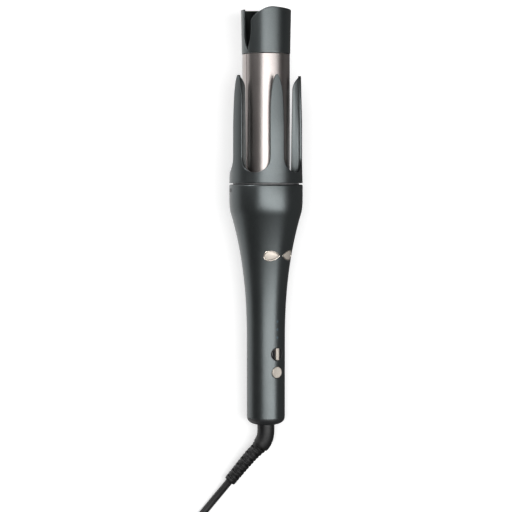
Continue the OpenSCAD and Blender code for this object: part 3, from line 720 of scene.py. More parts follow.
FINISHES: dict[str, Finish] = {
    "shell": Finish("satin_gunmetal", (0.095, 0.106, 0.108), metallic=0.88, roughness=0.36, bump=0.06,
                    wear=0.25, worn_color=(0.22, 0.23, 0.23), dust=0.012, smudge=0.1),
    "dark_trim": Finish("dark_moulding", (0.018, 0.019, 0.020), roughness=0.5, grain_scale=1500, bump=0.1),
    "inner_plastic": Finish("inner_moulding", (0.03, 0.03, 0.033), roughness=0.55, grain_scale=1200,
                            bump=0.12),
    "board": Finish("board_lacquer", (0.02, 0.13, 0.06), roughness=0.3, grain_scale=700, coat=0.4, bump=0.1),
    "board_part": Finish("component_moulding", (0.03, 0.03, 0.035), roughness=0.5, grain_scale=1500),
    "steel": Finish("plated_steel", (0.60, 0.61, 0.63), metallic=1.0, roughness=0.28, grain=Grain.TURNED,
                    grain_scale=1800, wear=0.2, worn_color=(0.8, 0.8, 0.8)),
    "led": Finish("light_emitter", (0.85, 0.82, 0.62), roughness=0.25, grain_scale=1500),
    "light_pipe": Finish("smoked_light_window", (0.10, 0.14, 0.17), roughness=0.22, grain_scale=1500,
                         coat=0.5),
    "selector_disc": Finish("polished_dark_disc", (0.02, 0.021, 0.023), metallic=0.3, roughness=0.2,
                            coat=0.5, bump=0.02, worn_color=(0.2, 0.2, 0.2)),
    "champagne": Finish("satin_champagne", (0.66, 0.60, 0.53), metallic=0.45, roughness=0.46, bump=0.05,
                        wear=0.3, worn_color=(0.88, 0.84, 0.78), smudge=0.1, grain_scale=2200),
    "bright_rim": Finish("polished_champagne_rim", (0.86, 0.80, 0.72), metallic=0.9, roughness=0.25,
                         bump=0.02, smudge=0.05),
    "lead": Finish("wire_insulation", (0.42, 0.03, 0.02), roughness=0.4, grain_scale=1500, coat=0.2),
    "brass": Finish("machined_brass", (0.62, 0.42, 0.16), metallic=1.0, roughness=0.3, grain=Grain.TURNED,
                    grain_scale=1500),
    "gear_plastic": Finish("self_lubricating_plastic", (0.075, 0.075, 0.078), roughness=0.42,
                           grain_scale=1200),
    "barrel_metal": Finish("polished_champagne_barrel", (0.40, 0.365, 0.352), metallic=1.0, roughness=0.33,
                           grain=Grain.TURNED, grain_scale=2600, bump=0.004, wear=0.1,
                           worn_color=(0.9, 0.86, 0.84), smudge=0.05, dust=0.0),
    "heater_aluminium": Finish("extruded_aluminium", (0.62, 0.63, 0.64), metallic=1.0, roughness=0.4,
                               grain=Grain.TURNED, grain_scale=900),
    "ceramic": Finish("fired_ceramic", (0.74, 0.72, 0.67), roughness=0.6, grain_scale=1100, bump=0.12),
    "cord_rubber": Finish("cord_sheath", (0.004, 0.004, 0.0045), roughness=0.5, grain_scale=1300, bump=0.14,
                          wear=0.25, worn_color=(0.07, 0.07, 0.07), dust=0.02),
    "tie_strap": Finish("woven_strap", (0.022, 0.022, 0.024), roughness=0.8, grain=Grain.WOVEN,
                        grain_scale=900, bump=0.6, sheen=0.3),
    "pin_metal": Finish("nickel_plated_pins", (0.72, 0.68, 0.58), metallic=1.0, roughness=0.22,
                        grain=Grain.TURNED, grain_scale=1600),
}


@dataclass
class Wardrobe:
    """The built materials by the record's slot names."""

    materials: dict[str, bpy.types.Material] = field(default_factory=dict)

    def build(self) -> None:
        """Builds every finish."""
        groups = SurfaceGroups()
        for slot, finish in FINISHES.items():
            self.materials[slot] = finish.build(groups)

    def dress_frame(self) -> None:
        """Dresses every CAD node from the record's own slots."""
        for part in frame["record"]["subparts"]:
            node = frame["nodes"][part["node"]]
            for place in node.material_slots:
                place.material = self.materials[part["material_slot"]]
            if not node.material_slots:
                node.data.materials.append(self.materials[part["material_slot"]])

    def place(self, piece: bpy.types.Object, slot: str, body: str, stands_for: Sequence[str] = (),
              finish: str = "") -> None:
        """Dresses a finished piece and lets it ride on its body.

        Args:
            piece: The finished piece.
            slot: The record's material slot.
            body: The CAD body that it rides on.
            stands_for: The CAD nodes that it replaces.
            finish: The finish, where it is not the slot's own.
        """
        piece.data.materials.clear()
        piece.data.materials.append(self.materials[finish or slot])
        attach(piece, body)
        if stands_for:
            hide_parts(*stands_for)
        LOG.info("%s: %d faces on %s", piece.name, len(getattr(piece.data, "polygons", ())), body)


# ---------------------------------------------------------------------------
# Camera, light and floor
# ---------------------------------------------------------------------------


@dataclass(frozen=True)
class Softbox:
    """One large soft light; its tilt is the share that it leans along the tool to face the middle."""

    name: str
    place: tuple[float, float, float]
    width: float
    length: float
    power: float
    tilt: float = 0.3

    def hang(self, aim: Vector) -> None:
        """Hangs the light and points it at the tool.

        Args:
            aim: The point that it faces.
        """
        light = bpy.data.lights.new(self.name, "AREA")
        light.shape = "RECTANGLE"
        light.size = self.width
        light.size_y = self.length
        light.energy = self.power
        lamp = put(self.name, light)
        lamp.location = self.place
        facing = aim - lamp.location
        facing.y *= self.tilt
        lamp.rotation_euler = facing.to_track_quat("-Z", "Y").to_euler()


@dataclass(frozen=True)
class Studio:
    """The camera above the table, the pale floor and the soft lights."""

    aim: Vector = field(default_factory=lambda: Vector((-7.5, -29.3, 24.2)) * MM)
    distance: float = 1.2
    lens: float = 112.0
    lean: float = 1.87
    floor_size: float = 12.0
    lights: tuple[Softbox, ...] = (
        Softbox("overhead_softbox", (0.58, -0.25, 1.65), 0.72, 2.8, 38.0),
        Softbox("left_back_softbox", (-0.95, 1.0, 0.75), 0.7, 0.7, 16.0),
    )

    def set_camera(self) -> None:
        """Places the camera nearly straight above the tool."""
        data = bpy.data.cameras.new("camera")
        data.lens = self.lens
        data.sensor_width = 36
        camera = put("camera", data)
        lean = math.radians(self.lean)
        back = Vector((0, -math.sin(lean), math.cos(lean)))
        camera.location = self.aim + back * self.distance
        camera.rotation_euler = (lean, 0, 0)
        bpy.context.scene.camera = camera

    def set_floor(self) -> None:
        """Lays the floor: evenly pale to the camera; in what the tool reflects, its colour is a painted shade that
        darkens towards the right, with a painted glow just left of the tool.
        """
        select_only([])
        bpy.ops.mesh.primitive_plane_add(size=self.floor_size, location=(0, 0, 0))
        floor = name_new("floor")
        material = bpy.data.materials.new("pale_floor")
        material.use_nodes = True
        nodes = Nodes(material.node_tree)
        shader = material.node_tree.nodes["Principled BSDF"]
        place = nodes.add("ShaderNodeTexCoord").outputs["Object"]
        mottle = nodes.add("ShaderNodeTexNoise", Vector=place, Scale=30.0, Detail=4.0)
        right = nodes.add("ShaderNodeSeparateXYZ", Vector=place).outputs["X"]
        seen = nodes.add("ShaderNodeLightPath").outputs["Is Camera Ray"]
        unseen = nodes.math("SUBTRACT", 1.0, seen)

        tone = nodes.remap(mottle.outputs["Fac"], 0.88, 0.9)
        # Painted reflection shade: seen only in reflections, the floor's colour darkens towards the tool's right
        # so the tool's right edge reflects dark.
        painted_reflection_shade = nodes.remap(right, 0.8, 0.13, -0.12, 0.0)
        value = nodes.math("ADD", nodes.math("MULTIPLY", tone, seen),
                           nodes.math("MULTIPLY", painted_reflection_shade, unseen))
        pale = nodes.add("ShaderNodeCombineColor", Red=value, Green=value, Blue=value)
        # Painted light: a glow on the floor just left of the tool, seen only in reflections, so the tool's left
        # edge reflects bright.
        painted_glow_mask = nodes.remap(right, 1.0, 0.0, -0.032, -0.008)
        painted_reflection_glow = nodes.math("MULTIPLY", painted_glow_mask, nodes.remap(right, 0.1, 0.85, -0.15, -0.045))
        camera_glow = 0.3
        # Emission: an even glow to the camera, plus the painted glow in reflections.
        strength = nodes.math("ADD", nodes.math("MULTIPLY", seen, camera_glow),
                              nodes.math("MULTIPLY", painted_reflection_glow, unseen))
        settings = {"Base Color": pale.outputs["Color"], "Emission Color": (1, 1, 1, 1),
                    "Emission Strength": strength, "Roughness": 0.9, "Specular IOR Level": 0.1}
        for label, setting in settings.items():
            nodes.feed(shader.inputs[label], setting)
        floor.data.materials.append(material)

    def set_light(self) -> None:
        """Hangs the softboxes and sets a dim room with a pale backdrop."""
        for box in self.lights:
            box.hang(self.aim)
        world = bpy.data.worlds.new("studio")
        bpy.context.scene.world = world
        world.use_nodes = True
        nodes = Nodes(world.node_tree)
        background = world.node_tree.nodes["Background"]
        seen = nodes.add("ShaderNodeLightPath").outputs["Is Camera Ray"]
        background.inputs["Color"].default_value = (1, 1, 1, 1)
        room_light, backdrop = 0.015, 0.9
        nodes.feed(background.inputs["Strength"], nodes.remap(seen, room_light, backdrop))
        bpy.context.scene.view_settings.view_transform = "Standard"


# ---------------------------------------------------------------------------
# Cord, strain relief, tie and plug
# ---------------------------------------------------------------------------


@dataclass
class Cord:
    """The mains cord from the tail outlet, through the coil, to the plug."""

    diameter: float = 5.6 * MM
    coil_middle: Vector = field(default_factory=lambda: Vector((-31, -275, 0)) * MM)
    coil_radius: float = 45 * MM
    turn_pitch: float = 5.65 * MM
    join_angle: float = 140.0
    low_turns: int = 5
    top_turns: int = 3
    steps_per_turn: int = 24
    top_z: float = 7.7 * MM
    plug_z: float = 17.4 * MM
    rise_angle: float = 100.0
    tail_bend: float = 20 * MM
    tail_end: float = 270.0
    tail_steps: int = 10
    relief_route: tuple = ((0, -155.9, 13.9), (0, -161, 13.5), (-0.6, -166, 13), (-2.6, -170.5, 12.5),
                           (-6.2, -174.9, 11.9), (-10.6, -179.4, 11), (-14.6, -184, 10.1),
                           (-18.3, -188.5, 9.1), (-22.8, -194.1, 7.8), (-27.4, -199.8, 6.4))
    run_route: tuple = ((-27.4, -199.8, 6.4), (-33.3, -207, 4.8), (-39.5, -214.5, 3.5), (-46, -222.4, 2.9),
                        (-55.6, -233.8, 2.8), (-65.5, -246, 2.8))

    def coil_point(self, turn: float) -> Vector:
        """Gives the cord's place in the coil.

        Args:
            turn: How many turns from where the cord joins the coil.

        Returns:
            The point, in metres.
        """
        step_share = 0.25
        climb_turns = 0.6
        crossing_start = 0.7
        settling_turns = 0.12
        low_z = self.diameter / 2
        crossing_z = 8.5 * MM

        def stepped(value: float) -> float:
            """Counts whole turns, with a soft step in the last quarter of each."""
            whole = math.floor(value)
            return whole + eased(value - whole, 1 - step_share, 1)

        inmost = self.coil_radius - (self.low_turns - 1) * self.turn_pitch
        last_low = self.low_turns - step_share
        if turn < last_low:
            radius = self.coil_radius - stepped(turn) * self.turn_pitch
            climb = eased(turn, self.low_turns - climb_turns, last_low)
            height = low_z + (crossing_z - low_z) * climb
        elif turn < self.low_turns:
            radius = inmost + self.turn_pitch / 2 * eased(turn, last_low, self.low_turns)
            height = crossing_z
        else:
            over = turn - self.low_turns
            radius = inmost + self.turn_pitch / 2 + min(stepped(over), self.top_turns - 1) * self.turn_pitch
            part = over - math.floor(over)
            crosses = over < self.top_turns - 1
            crossing = math.sin(math.pi * eased(part, crossing_start, 1.0)) if crosses else 0.0
            settling = 1 - eased(over, 0.0, settling_turns)
            height = self.top_z + (crossing_z - self.top_z) * max(crossing, settling)
        angle = self.join_angle + 360 * turn
        ring_angle = angle - 360 * (self.low_turns + self.top_turns)
        if ring_angle > self.rise_angle:
            height = self.tail_height(ring_angle)
        return self.coil_middle + spoke(angle, radius) + Vector((0, 0, height))

    def tail_height(self, angle: float) -> float:
        """Returns the cord's height where it rises over the coil to the plug."""
        return self.top_z + (self.plug_z - self.top_z) * eased(angle, self.rise_angle, self.tail_end)

    def tail_route(self) -> list[Vector]:
        """Lays out the bend that leads from the coil to the plug.

        Returns:
            The points, in metres.
        """
        last_radius = self.coil_radius - (self.low_turns - 1) * self.turn_pitch \
            + self.turn_pitch * (self.top_turns - 0.5)
        middle = self.coil_middle + spoke(self.join_angle, last_radius - self.tail_bend)
        step = (self.tail_end - self.join_angle) / self.tail_steps
        angles = [self.join_angle + step * i for i in range(self.tail_steps + 1)]
        return [middle + spoke(angle, self.tail_bend) + Vector((0, 0, self.tail_height(angle)))
                for angle in angles]

    def route(self) -> list[Vector]:
        """Lays out the whole centreline.

        Returns:
            The points from the tail to the plug, in metres.
        """
        last_turn = self.low_turns + self.top_turns
        count = round(last_turn * self.steps_per_turn)
        coil = [self.coil_point(last_turn * i / count) for i in range(1, count)]
        start = in_metres(self.relief_route + self.run_route[1:])
        return start + coil + self.tail_route()

    def build(self) -> tuple[bpy.types.Object, float]:
        """Draws the cord as one open curve.

        Returns:
            The cord and its length in metres.
        """
        route = self.route()
        curve = bpy.data.curves.new("mains_cord", "CURVE")
        curve.dimensions = "3D"
        curve.bevel_depth = self.diameter / 2
        curve.bevel_resolution = 3
        curve.resolution_u = 3
        curve.use_fill_caps = True
        spline = curve.splines.new("BEZIER")
        spline.bezier_points.add(len(route) - 1)
        for spot, place in zip(spline.bezier_points, route):
            spot.co = place
            spot.handle_left_type = "AUTO"
            spot.handle_right_type = "AUTO"
        length = sum((b - a).length for a, b in zip(route, route[1:]))
        return put("mains_cord", curve), length


@dataclass
class StrainRelief:
    """The flexible sleeve at the tail: a smooth stem, then a tapered part with staggered slots."""

    stem_radius: float = 6.45 * MM
    tip_radius: float = 4.5 * MM
    stem_length: float = 16.5 * MM
    slot_pitch: float = 2.9 * MM
    slot_width: float = 1.25 * MM
    slot_depth: float = 1.8 * MM
    slot_count: int = 12
    slot_degrees: float = 62.0
    sides: int = 32

    def build(self, route: Sequence[Vector]) -> bpy.types.Object:
        """Sweeps the sleeve along the cord and sinks its slots.

        Args:
            route: The cord's points inside the sleeve.

        Returns:
            The sleeve.
        """
        row, lip = 1.5 * MM, 1.2 * MM
        line = smooth_curve(route, 12)
        spans = [(b - a).length for a, b in zip(line, line[1:])]
        total = sum(spans)
        heights = [i * row for i in range(int(self.stem_length / row) + 1)]
        for k in range(self.slot_count):
            low = self.stem_length + row + k * self.slot_pitch
            heights += [low, low + self.slot_width]
        heights += [total - lip, total]
        points = [self._at(line, spans, height) for height in heights]
        radii = [self._radius(height, total) for height in heights]
        sleeve = tube("strain_relief_sleeve", points, radii, sides=self.sides)
        first = len(points) - 2 - 2 * self.slot_count
        for k in range(self.slot_count):
            self._sink_slot(sleeve, points[first + 2 * k], points[first + 2 * k + 1], 1 if k % 2 else -1)
        soften(sleeve, 0.22 * MM, 2, 35)
        shade(sleeve, 38)
        return sleeve

    @staticmethod
    def _at(line: Sequence[Vector], spans: Sequence[float], height: float) -> Vector:
        """Finds the point a length along a line.

        Args:
            line: The points of the line.
            spans: The length from each point to the next.
            height: The length along the line.

        Returns:
            The point.
        """
        for start, end, span in zip(line, line[1:], spans):
            if height <= span:
                return start.lerp(end, height / span)
            height -= span
        return line[-1].copy()

    def _radius(self, height: float, total: float) -> float:
        """Finds the sleeve's radius a length along it.

        Args:
            height: The length along the sleeve.
            total: The sleeve's whole length.

        Returns:
            The radius.
        """
        shoulder, shoulder_drop = 5 * MM, 1.05 * MM
        if height < self.stem_length:
            return self.stem_radius
        step = eased(height, self.stem_length, self.stem_length + shoulder)
        share = (height - self.stem_length) / (total - self.stem_length)
        taper = self.stem_radius - shoulder_drop - self.tip_radius
        return self.stem_radius - shoulder_drop * step - taper * share

    def _sink_slot(self, sleeve: bpy.types.Object, low: Vector, high: Vector, lean: int) -> None:
        """Pushes a pair of slots in between two rings of the sleeve.

        Args:
            sleeve: The sleeve.
            low: The middle of the ring below the slots.
            high: The middle of the ring above them.
            lean: Whether the webs lean up (1) or down (-1).
        """
        middle, along = (low + high) / 2, (high - low).normalized()
        level = along.cross(Vector((0, 0, 1))).normalized()
        web = (level + lean * level.cross(along)).normalized()
        reach_along = 0.35 * self.slot_width

        def in_slot(face: bpy.types.MeshPolygon) -> bool:
            """Tells whether a face lies in this slot and off the webs."""
            reach = face.center - middle
            if abs(reach.dot(along)) > reach_along or reach.length > 2 * self.stem_radius:
                return False
            across = (reach - along * reach.dot(along)).normalized()
            return abs(across.dot(web)) > math.cos(math.radians(self.slot_degrees))

        with editing(sleeve, wanted=in_slot):
            bpy.ops.mesh.extrude_region_shrink_fatten(TRANSFORM_OT_shrink_fatten={"value": -self.slot_depth})


@dataclass
class Plug:
    """The two-pin plug: an oval body with finger grooves and a short sleeve for the cord.

    Its sections are (distance from the cord's end, half width, half height), in millimetres.
    """

    start: Vector
    neck: tuple = ((0, 3.3, 3.3), (0.6, 3.7, 3.7), (12, 4.4, 4.2), (20, 5.1, 4.7), (24, 6.6, 5.2),
                   (26.5, 9.0, 5.7), (29, 11.4, 6.1))
    face: tuple = ((46, 18.3, 6.75), (50.6, 19.0, 6.85), (51.6, 18.7, 6.6), (52, 18.0, 6.0))
    grooves: tuple = (32, 36, 40)
    groove_share: float = 0.92
    grip_half_width: float = 12.6
    grip_half_height: float = 6.4

    def sections(self) -> list[tuple[float, float, float]]:
        """Lists the sections from the cord to the face.

        Returns:
            The distance, half width and half height of each, in metres.
        """
        flare, flare_length, flare_power = 5.0, 12, 0.7
        rings = list(self.neck)
        for x in self.grooves:
            wide = self.grip_half_width + flare * ((x - self.grooves[0]) / flare_length) ** flare_power
            tall = self.grip_half_height
            sunk = (wide * self.groove_share, tall * self.groove_share)
            rings += [(x - 1, wide, tall), (x - 0.5, *sunk), (x + 0.9, *sunk),
                      (x + 1.4, wide + 0.6, tall + 0.1)]
        return [(self.start.x + x * MM, wide * MM, tall * MM) for x, wide, tall in [*rings, *self.face]]

    def build(self) -> bpy.types.Object:
        """Grows the body ring by ring along X.

        Returns:
            The plug's body.
        """
        rings = self.sections()
        x, wide, tall = rings[0]
        y, z = self.start.y, self.start.z
        select_only([])
        bpy.ops.mesh.primitive_circle_add(vertices=48, radius=1, fill_type="NGON", location=(x, y, z),
                                          rotation=(0, math.pi / 2, 0))
        bpy.ops.transform.resize(value=(1, wide, tall), center_override=(x, y, z))
        body = name_new("plug_shell")
        with editing(body):
            for next_x, next_wide, next_tall in rings[1:]:
                bpy.ops.mesh.extrude_region_move(TRANSFORM_OT_translate={"value": (next_x - x, 0, 0)})
                bpy.ops.transform.resize(value=(1, next_wide / wide, next_tall / tall),
                                         center_override=(next_x, y, z))
                x, wide, tall = next_x, next_wide, next_tall
        clean(body)
        apply_modifier(body, "SUBSURF", levels=1, render_levels=1)
        shade(body, 50)
        return body


@dataclass
class CoilTie:
    """The woven strap that holds the coil together."""

    width: float = 12 * MM
    thickness: float = 1.1 * MM
    angle: float = 60.0
    slack: float = 0.7 * MM
    span: float = 29.6 * MM
    shoulder: float = 38.8 * MM
    top: float = 11.6 * MM
    corner: float = 3.0 * MM

    def build(self) -> bpy.types.Object:
        """Bends the strap round the coil's section, with its free end laid over.

        Returns:
            The strap.
        """
        low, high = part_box("cord_coil")
        middle = (low + high) / 2
        outer = (high.x - low.x) / 2 + self.slack
        inner = outer - self.span
        top, shoulder, corner = self.top, self.shoulder, self.corner
        foot_z, top_z = corner + 0.6 * MM, top - corner
        lean = 2.6 * MM
        lift = self.thickness
        bends = ((outer - corner, foot_z, -90, 38), (shoulder, top_z, 38, 90),
                 (inner + corner + lean, top_z, 90, 160), (inner + corner, foot_z, 160, 270))
        spots = [spot for x, z, start, end in bends for spot in arc((x, z), corner, start, end, 6)]
        lap = [(outer + 1.0 * MM, 4.4 * MM), (outer - 0.2 * MM, 6.6 * MM),
               (shoulder + 4.2 * MM, top - 0.2 * MM), (shoulder, top + lift), (inner + 13 * MM, top + lift),
               (inner + 9 * MM, top + 1.3 * MM)]
        bands = [self._band("tie_loop", spots, True), self._band("tie_end", lap, False)]
        strap = join(bands, "coil_tie_strap")
        strap.data.transform(Matrix.Translation((middle.x, middle.y, 0))
                             @ Matrix.Rotation(math.radians(self.angle), 4, "Z"))
        shade(strap)
        return strap

    def _band(self, name: str, spots: Sequence[tuple[float, float]], closed: bool) -> bpy.types.Object:
        """Extrudes an edge along the strap's section and thickens it.

        Args:
            name: The band's name.
            spots: The strap's section, as (x, z).
            closed: Whether the section runs round to its start.

        Returns:
            The band.
        """
        select_only([])
        bpy.ops.mesh.primitive_plane_add(size=1)
        band = name_new(name)
        half = self.width / 2
        first, second = spots[0], spots[1]
        ends = [(first, -half), (second, -half), (first, half), (second, half)]
        for point, (spot, y) in zip(band.data.vertices, ends):
            point.co = (spot[0], y, spot[1])
        path = list(spots[1:]) + ([spots[0]] if closed else [])
        with editing(band, "VERT", lambda point: point.index in (1, 3)):
            for (x, z), (next_x, next_z) in zip(path, path[1:]):
                step = (next_x - x, 0, next_z - z)
                bpy.ops.mesh.extrude_region_move(TRANSFORM_OT_translate={"value": step})
        clean(band)
        apply_modifier(band, "SOLIDIFY", thickness=self.thickness, offset=0)
        soften(band, 0.3 * MM, 2, clamp=True)
        return band


# ---------------------------------------------------------------------------
# Handle
# ---------------------------------------------------------------------------


@dataclass
class Handle:
    """The one-piece sleeve with its openings, and the tail cap."""

    grip_radius: float = 14.35 * MM
    body_radius: float = 27.6 * MM
    tail_seam: float = 5 * MM
    flare_start: float = 60 * MM
    flare_end: float = 161 * MM
    shoulder: float = 170 * MM
    shoulder_drop: float = 0.6 * MM
    flare_power: float = 2.4
    top: float = 180.8 * MM
    wall: float = 1.8 * MM
    neck_bore: float = 25.4 * MM
    rim_round: float = 1.0 * MM
    row_step: float = 2.5 * MM

    def radius(self, height: float) -> float:
        """Follows the grip, the flare and the shoulder.

        Args:
            height: The height on the tool.

        Returns:
            The radius.
        """
        if height < self.flare_start:
            return self.grip_radius
        if height < self.flare_end:
            share = (height - self.flare_start) / (self.flare_end - self.flare_start)
            reach = self.body_radius - self.shoulder_drop - self.grip_radius
            return self.grip_radius + reach * share ** self.flare_power
        if height < self.shoulder:
            share = (self.shoulder - height) / (self.shoulder - self.flare_end)
            return self.body_radius - self.shoulder_drop * share ** 2
        return self.body_radius

    def outward(self, degrees: float, across: float, height: float, lift: float) -> Vector:
        """Finds a point over the sleeve from a flat pattern that faces outwards.

        Args:
            degrees: The angle of the pattern's middle from the front.
            across: The distance to the right in the pattern.
            height: The height on the tool.
            lift: How far above the surface.

        Returns:
            The point on the upright tool.
        """
        radius = self.radius(height) + lift
        turn = math.asin(across / radius)
        return around(degrees + math.degrees(turn), radius, height)

    def build_sleeve(self, leaf: "LeafButtons", rounds: Sequence["RoundControl"],
                     lights: "Lights") -> bpy.types.Object:
        """Turns the sleeve and cuts its openings.

        Args:
            leaf: The leaf buttons.
            rounds: The round controls.
            lights: The indicator lights.

        Returns:
            The sleeve.
        """
        edge = 0.3 * MM
        count = round((self.shoulder - self.tail_seam) / self.row_step)
        heights = [self.tail_seam + edge + (self.shoulder - self.tail_seam) * i / count
                   for i in range(count + 1)]
        outer = [(self.grip_radius - edge, self.tail_seam)]
        outer += [(self.radius(h), h) for h in heights] + [(self.body_radius, self.top - self.rim_round)]
        rim = arc((self.body_radius - self.rim_round, self.top - self.rim_round), self.rim_round, 15, 90, 5)
        bore = [(min(self.radius(h) - self.wall, self.neck_bore), h) for h in reversed(heights[::4])]
        inside = [(self.neck_bore, self.top)] + bore + [(self.grip_radius - self.wall, self.tail_seam)]
        sleeve = lathe("handle_shell", outer + rim + inside + outer[:1], sides=160)
        carve(sleeve, [leaf.cutter(side) for side in (-1, 1)])
        carve(sleeve, [control.cutter() for control in rounds])
        carve(sleeve, lights.cutters())
        shade(sleeve, 32)
        return sleeve

    def build_tail(self) -> bpy.types.Object:
        """Turns the tail cap with its rounded end.

        Returns:
            The tail cap.
        """
        face, hole, floor, spigot_top = 7.4 * MM, 6.6 * MM, 3.2 * MM, 12 * MM
        spigot_wall, chamfer = 1.4 * MM, 0.5 * MM
        rise = self.tail_seam - 0.1 * MM
        edge = self.grip_radius - 0.15 * MM
        curve = [(face + (edge - face) * math.sin(math.radians(a)), rise * (1 - math.cos(math.radians(a))))
                 for a in range(0, 91, 6)]
        spigot = self.grip_radius - self.wall - 0.05 * MM
        inside = [(edge, self.tail_seam), (spigot, self.tail_seam), (spigot, spigot_top),
                  (spigot - spigot_wall, spigot_top), (spigot - spigot_wall, floor), (hole, floor),
                  (hole, chamfer), (hole + chamfer, 0)]
        cap = lathe("tail_end_cap", curve + inside + curve[:1])
        shade(cap, 35)
        return cap


@dataclass
class LeafButtons:
    """The two leaf-shaped direction buttons with their bright rims."""

    handle: Handle
    height: float = 128 * MM
    degrees: float = 22.75
    half_height: float = 3.9 * MM
    blunt_x: float = -2.6 * MM
    widest_x: float = -1.4 * MM
    point_radius: float = 10.5 * MM
    rim: float = 0.38 * MM
    gap: float = 0.9 * MM

    def reach(self, grow: float) -> tuple[float, float]:
        """Returns the leaf's lowest and highest x, grown by a margin."""
        radius = self.point_radius + grow
        drop = self.point_radius - self.half_height
        return self.blunt_x - self.half_height - grow, self.widest_x + math.sqrt(radius ** 2 - drop ** 2)

    def half(self, x: float, grow: float) -> float:
        """Finds the leaf's half height at x.

        Args:
            x: The place along the leaf.
            grow: The margin.

        Returns:
            The half height, 0 beyond the ends.
        """
        if x < self.blunt_x:
            return math.sqrt(max(0.0, (self.half_height + grow) ** 2 - (x - self.blunt_x) ** 2))
        if x < self.widest_x:
            return self.half_height + grow
        span = (self.point_radius + grow) ** 2 - (x - self.widest_x) ** 2
        return max(0.0, math.sqrt(max(0.0, span)) - self.point_radius + self.half_height)

    def outline(self, grow: float) -> list[tuple[float, float]]:
        """Walks round the leaf, with its point towards +x.

        Args:
            grow: The margin that the leaf is grown by.

        Returns:
            The points as (x, z).
        """
        steps = 22
        low, high = self.reach(grow)
        xs = [low + (high - low) * (1 - math.cos(math.pi * i / steps)) / 2 for i in range(steps + 1)]
        lower = [(x, -self.half(x, grow)) for x in xs]
        upper = [(x, self.half(x, grow)) for x in reversed(xs[1:-1])]
        return lower + upper

    def cutter(self, side: int) -> bpy.types.Object:
        """Makes the tool that cuts a leaf's opening.

        Args:
            side: -1 for the left button and 1 for the right one.

        Returns:
            The cutting tool.
        """
        depth = 14 * MM
        outline = [Vector((-side * x, -depth, self.height + z)) for x, z in self.outline(0.1 * MM)]
        tool = plate("leaf_cutter", outline, Vector((0, -depth, 0)))
        tool.data.transform(Matrix.Rotation(math.radians(side * self.degrees), 4, "Z"))
        return tool

    def build_button(self, side: int, name: str) -> bpy.types.Object:
        """Domes a leaf-shaped panel over the sleeve and thickens it.

        Args:
            side: -1 for the left button and 1 for the right one.
            name: The piece's name.

        Returns:
            The button.
        """
        low, high = self.reach(-self.gap)
        crown, proud = 0.18 * MM, 0.05 * MM
        middle = (low + high) / 2

        def place(across: float, up: float) -> Vector:
            """Places a point of the button's face.

            Args:
                across: The share from the blunt end to the point.
                up: The share from the lower edge to the upper one.

            Returns:
                The point on the upright tool.
            """
            x = low + (high - low) * (1 - math.cos(math.pi * across)) / 2
            rise = 2 * up - 1
            z = rise * self.half(x, -self.gap)
            share = min(1.0, ((x - middle) / (high - middle)) ** 2 + rise * rise)
            return self.handle.outward(side * self.degrees, -side * x, self.height + z,
                                       proud + crown * (1 - share))

        button = panel(name, 24, 12, place)
        clean(button)
        self._face_out(button)
        apply_modifier(button, "SOLIDIFY", thickness=2.2 * MM, offset=-1)
        soften(button, 0.18 * MM, 2)
        shade(button, 45)
        return button

    @staticmethod
    def _face_out(button: bpy.types.Object) -> None:
        """Turns an open panel's faces away from the tool's axis.

        Args:
            button: The panel.
        """
        centre = sum((face.center for face in button.data.polygons), Vector()) / len(button.data.polygons)
        outward = Vector((centre.x, centre.y, 0))
        if sum(face.normal.dot(outward) for face in button.data.polygons) < 0:
            with editing(button):
                bpy.ops.mesh.flip_normals()

    def build_rims(self) -> bpy.types.Object:
        """Runs a rounded bead round each leaf.

        Returns:
            Both rims as one piece.
        """
        rims = []
        for side in (-1, 1):
            points = [self.handle.outward(side * self.degrees, -side * x, self.height + z, -0.1 * MM)
                      for x, z in self.outline(-self.rim)]
            rims.append(tube("leaf_rim", points, [self.rim] * len(points), closed=True))
        both = join(rims, "leaf_rims")
        shade(both, 60)
        return both


@dataclass
class RoundControl:
    """A round button or selector on the grip, with its bright rim."""

    handle: Handle
    name: str
    height: float
    radius: float
    rim: float = 0.28 * MM
    sides: int = 64

    def cutter(self) -> bpy.types.Object:
        """Makes the tool that cuts the control's opening.

        Returns:
            The cutting tool.
        """
        clearance = 0.6 * MM
        return drill(f"{self.name}_cutter", self.radius + clearance, 12 * MM, (0, -16 * MM, self.height),
                     self.sides)

    def build_rim(self) -> bpy.types.Object:
        """Runs a bead that follows the grip's surface round the control.

        Returns:
            The rim.
        """
        gap, sunk = 0.15 * MM, 0.08 * MM
        reach = self.radius + gap + self.rim
        turns = [math.tau * i / self.sides for i in range(self.sides)]
        points = [self.handle.outward(0, reach * math.cos(t), self.height + reach * math.sin(t), -sunk)
                  for t in turns]
        bead = tube(f"{self.name}_rim", points, [self.rim] * self.sides, closed=True)
        shade(bead, 60)
        return bead

    def build_cap(self, front: float, depth: float, hollow: float) -> bpy.types.Object:
        """Turns the control's face from a disc, softened at its edge and slightly dished.

        Args:
            front: The distance of its face from the tool's axis.
            depth: Its thickness.
            hollow: How deep the middle is dished.

        Returns:
            The cap.
        """
        soft, centre_hole = 0.35 * MM, 0.01 * MM
        profile = [(centre_hole, front - depth), (self.radius, front - depth), (self.radius, front - soft)]
        profile += arc((self.radius - soft, front - soft), soft, 20, 90, 4)
        profile += [(self.radius * share, front - hollow * (1 - share ** 2))
                    for share in (0.8, 0.6, 0.4, 0.2, 0.01)]
        cap = lathe(f"{self.name}_cap", profile, sides=self.sides)
        cap.data.transform(Matrix.Translation((0, 0, self.height)) @ Matrix.Rotation(math.pi / 2, 4, "X"))
        shade(cap, 35)
        return cap


@dataclass
class Lights:
    """The row of indicator lights above the selector."""

    middle: float = 72.5 * MM
    pitch: float = 6 * MM
    radius: float = 0.95 * MM

    def cutters(self) -> list[bpy.types.Object]:
        """Makes the drills for the three windows.

        Returns:
            The cutting tools.
        """
        return [drill("light_drill", self.radius, 8 * MM, (0, -14 * MM, self.middle + i * self.pitch), 24)
                for i in (-1, 0, 1)]


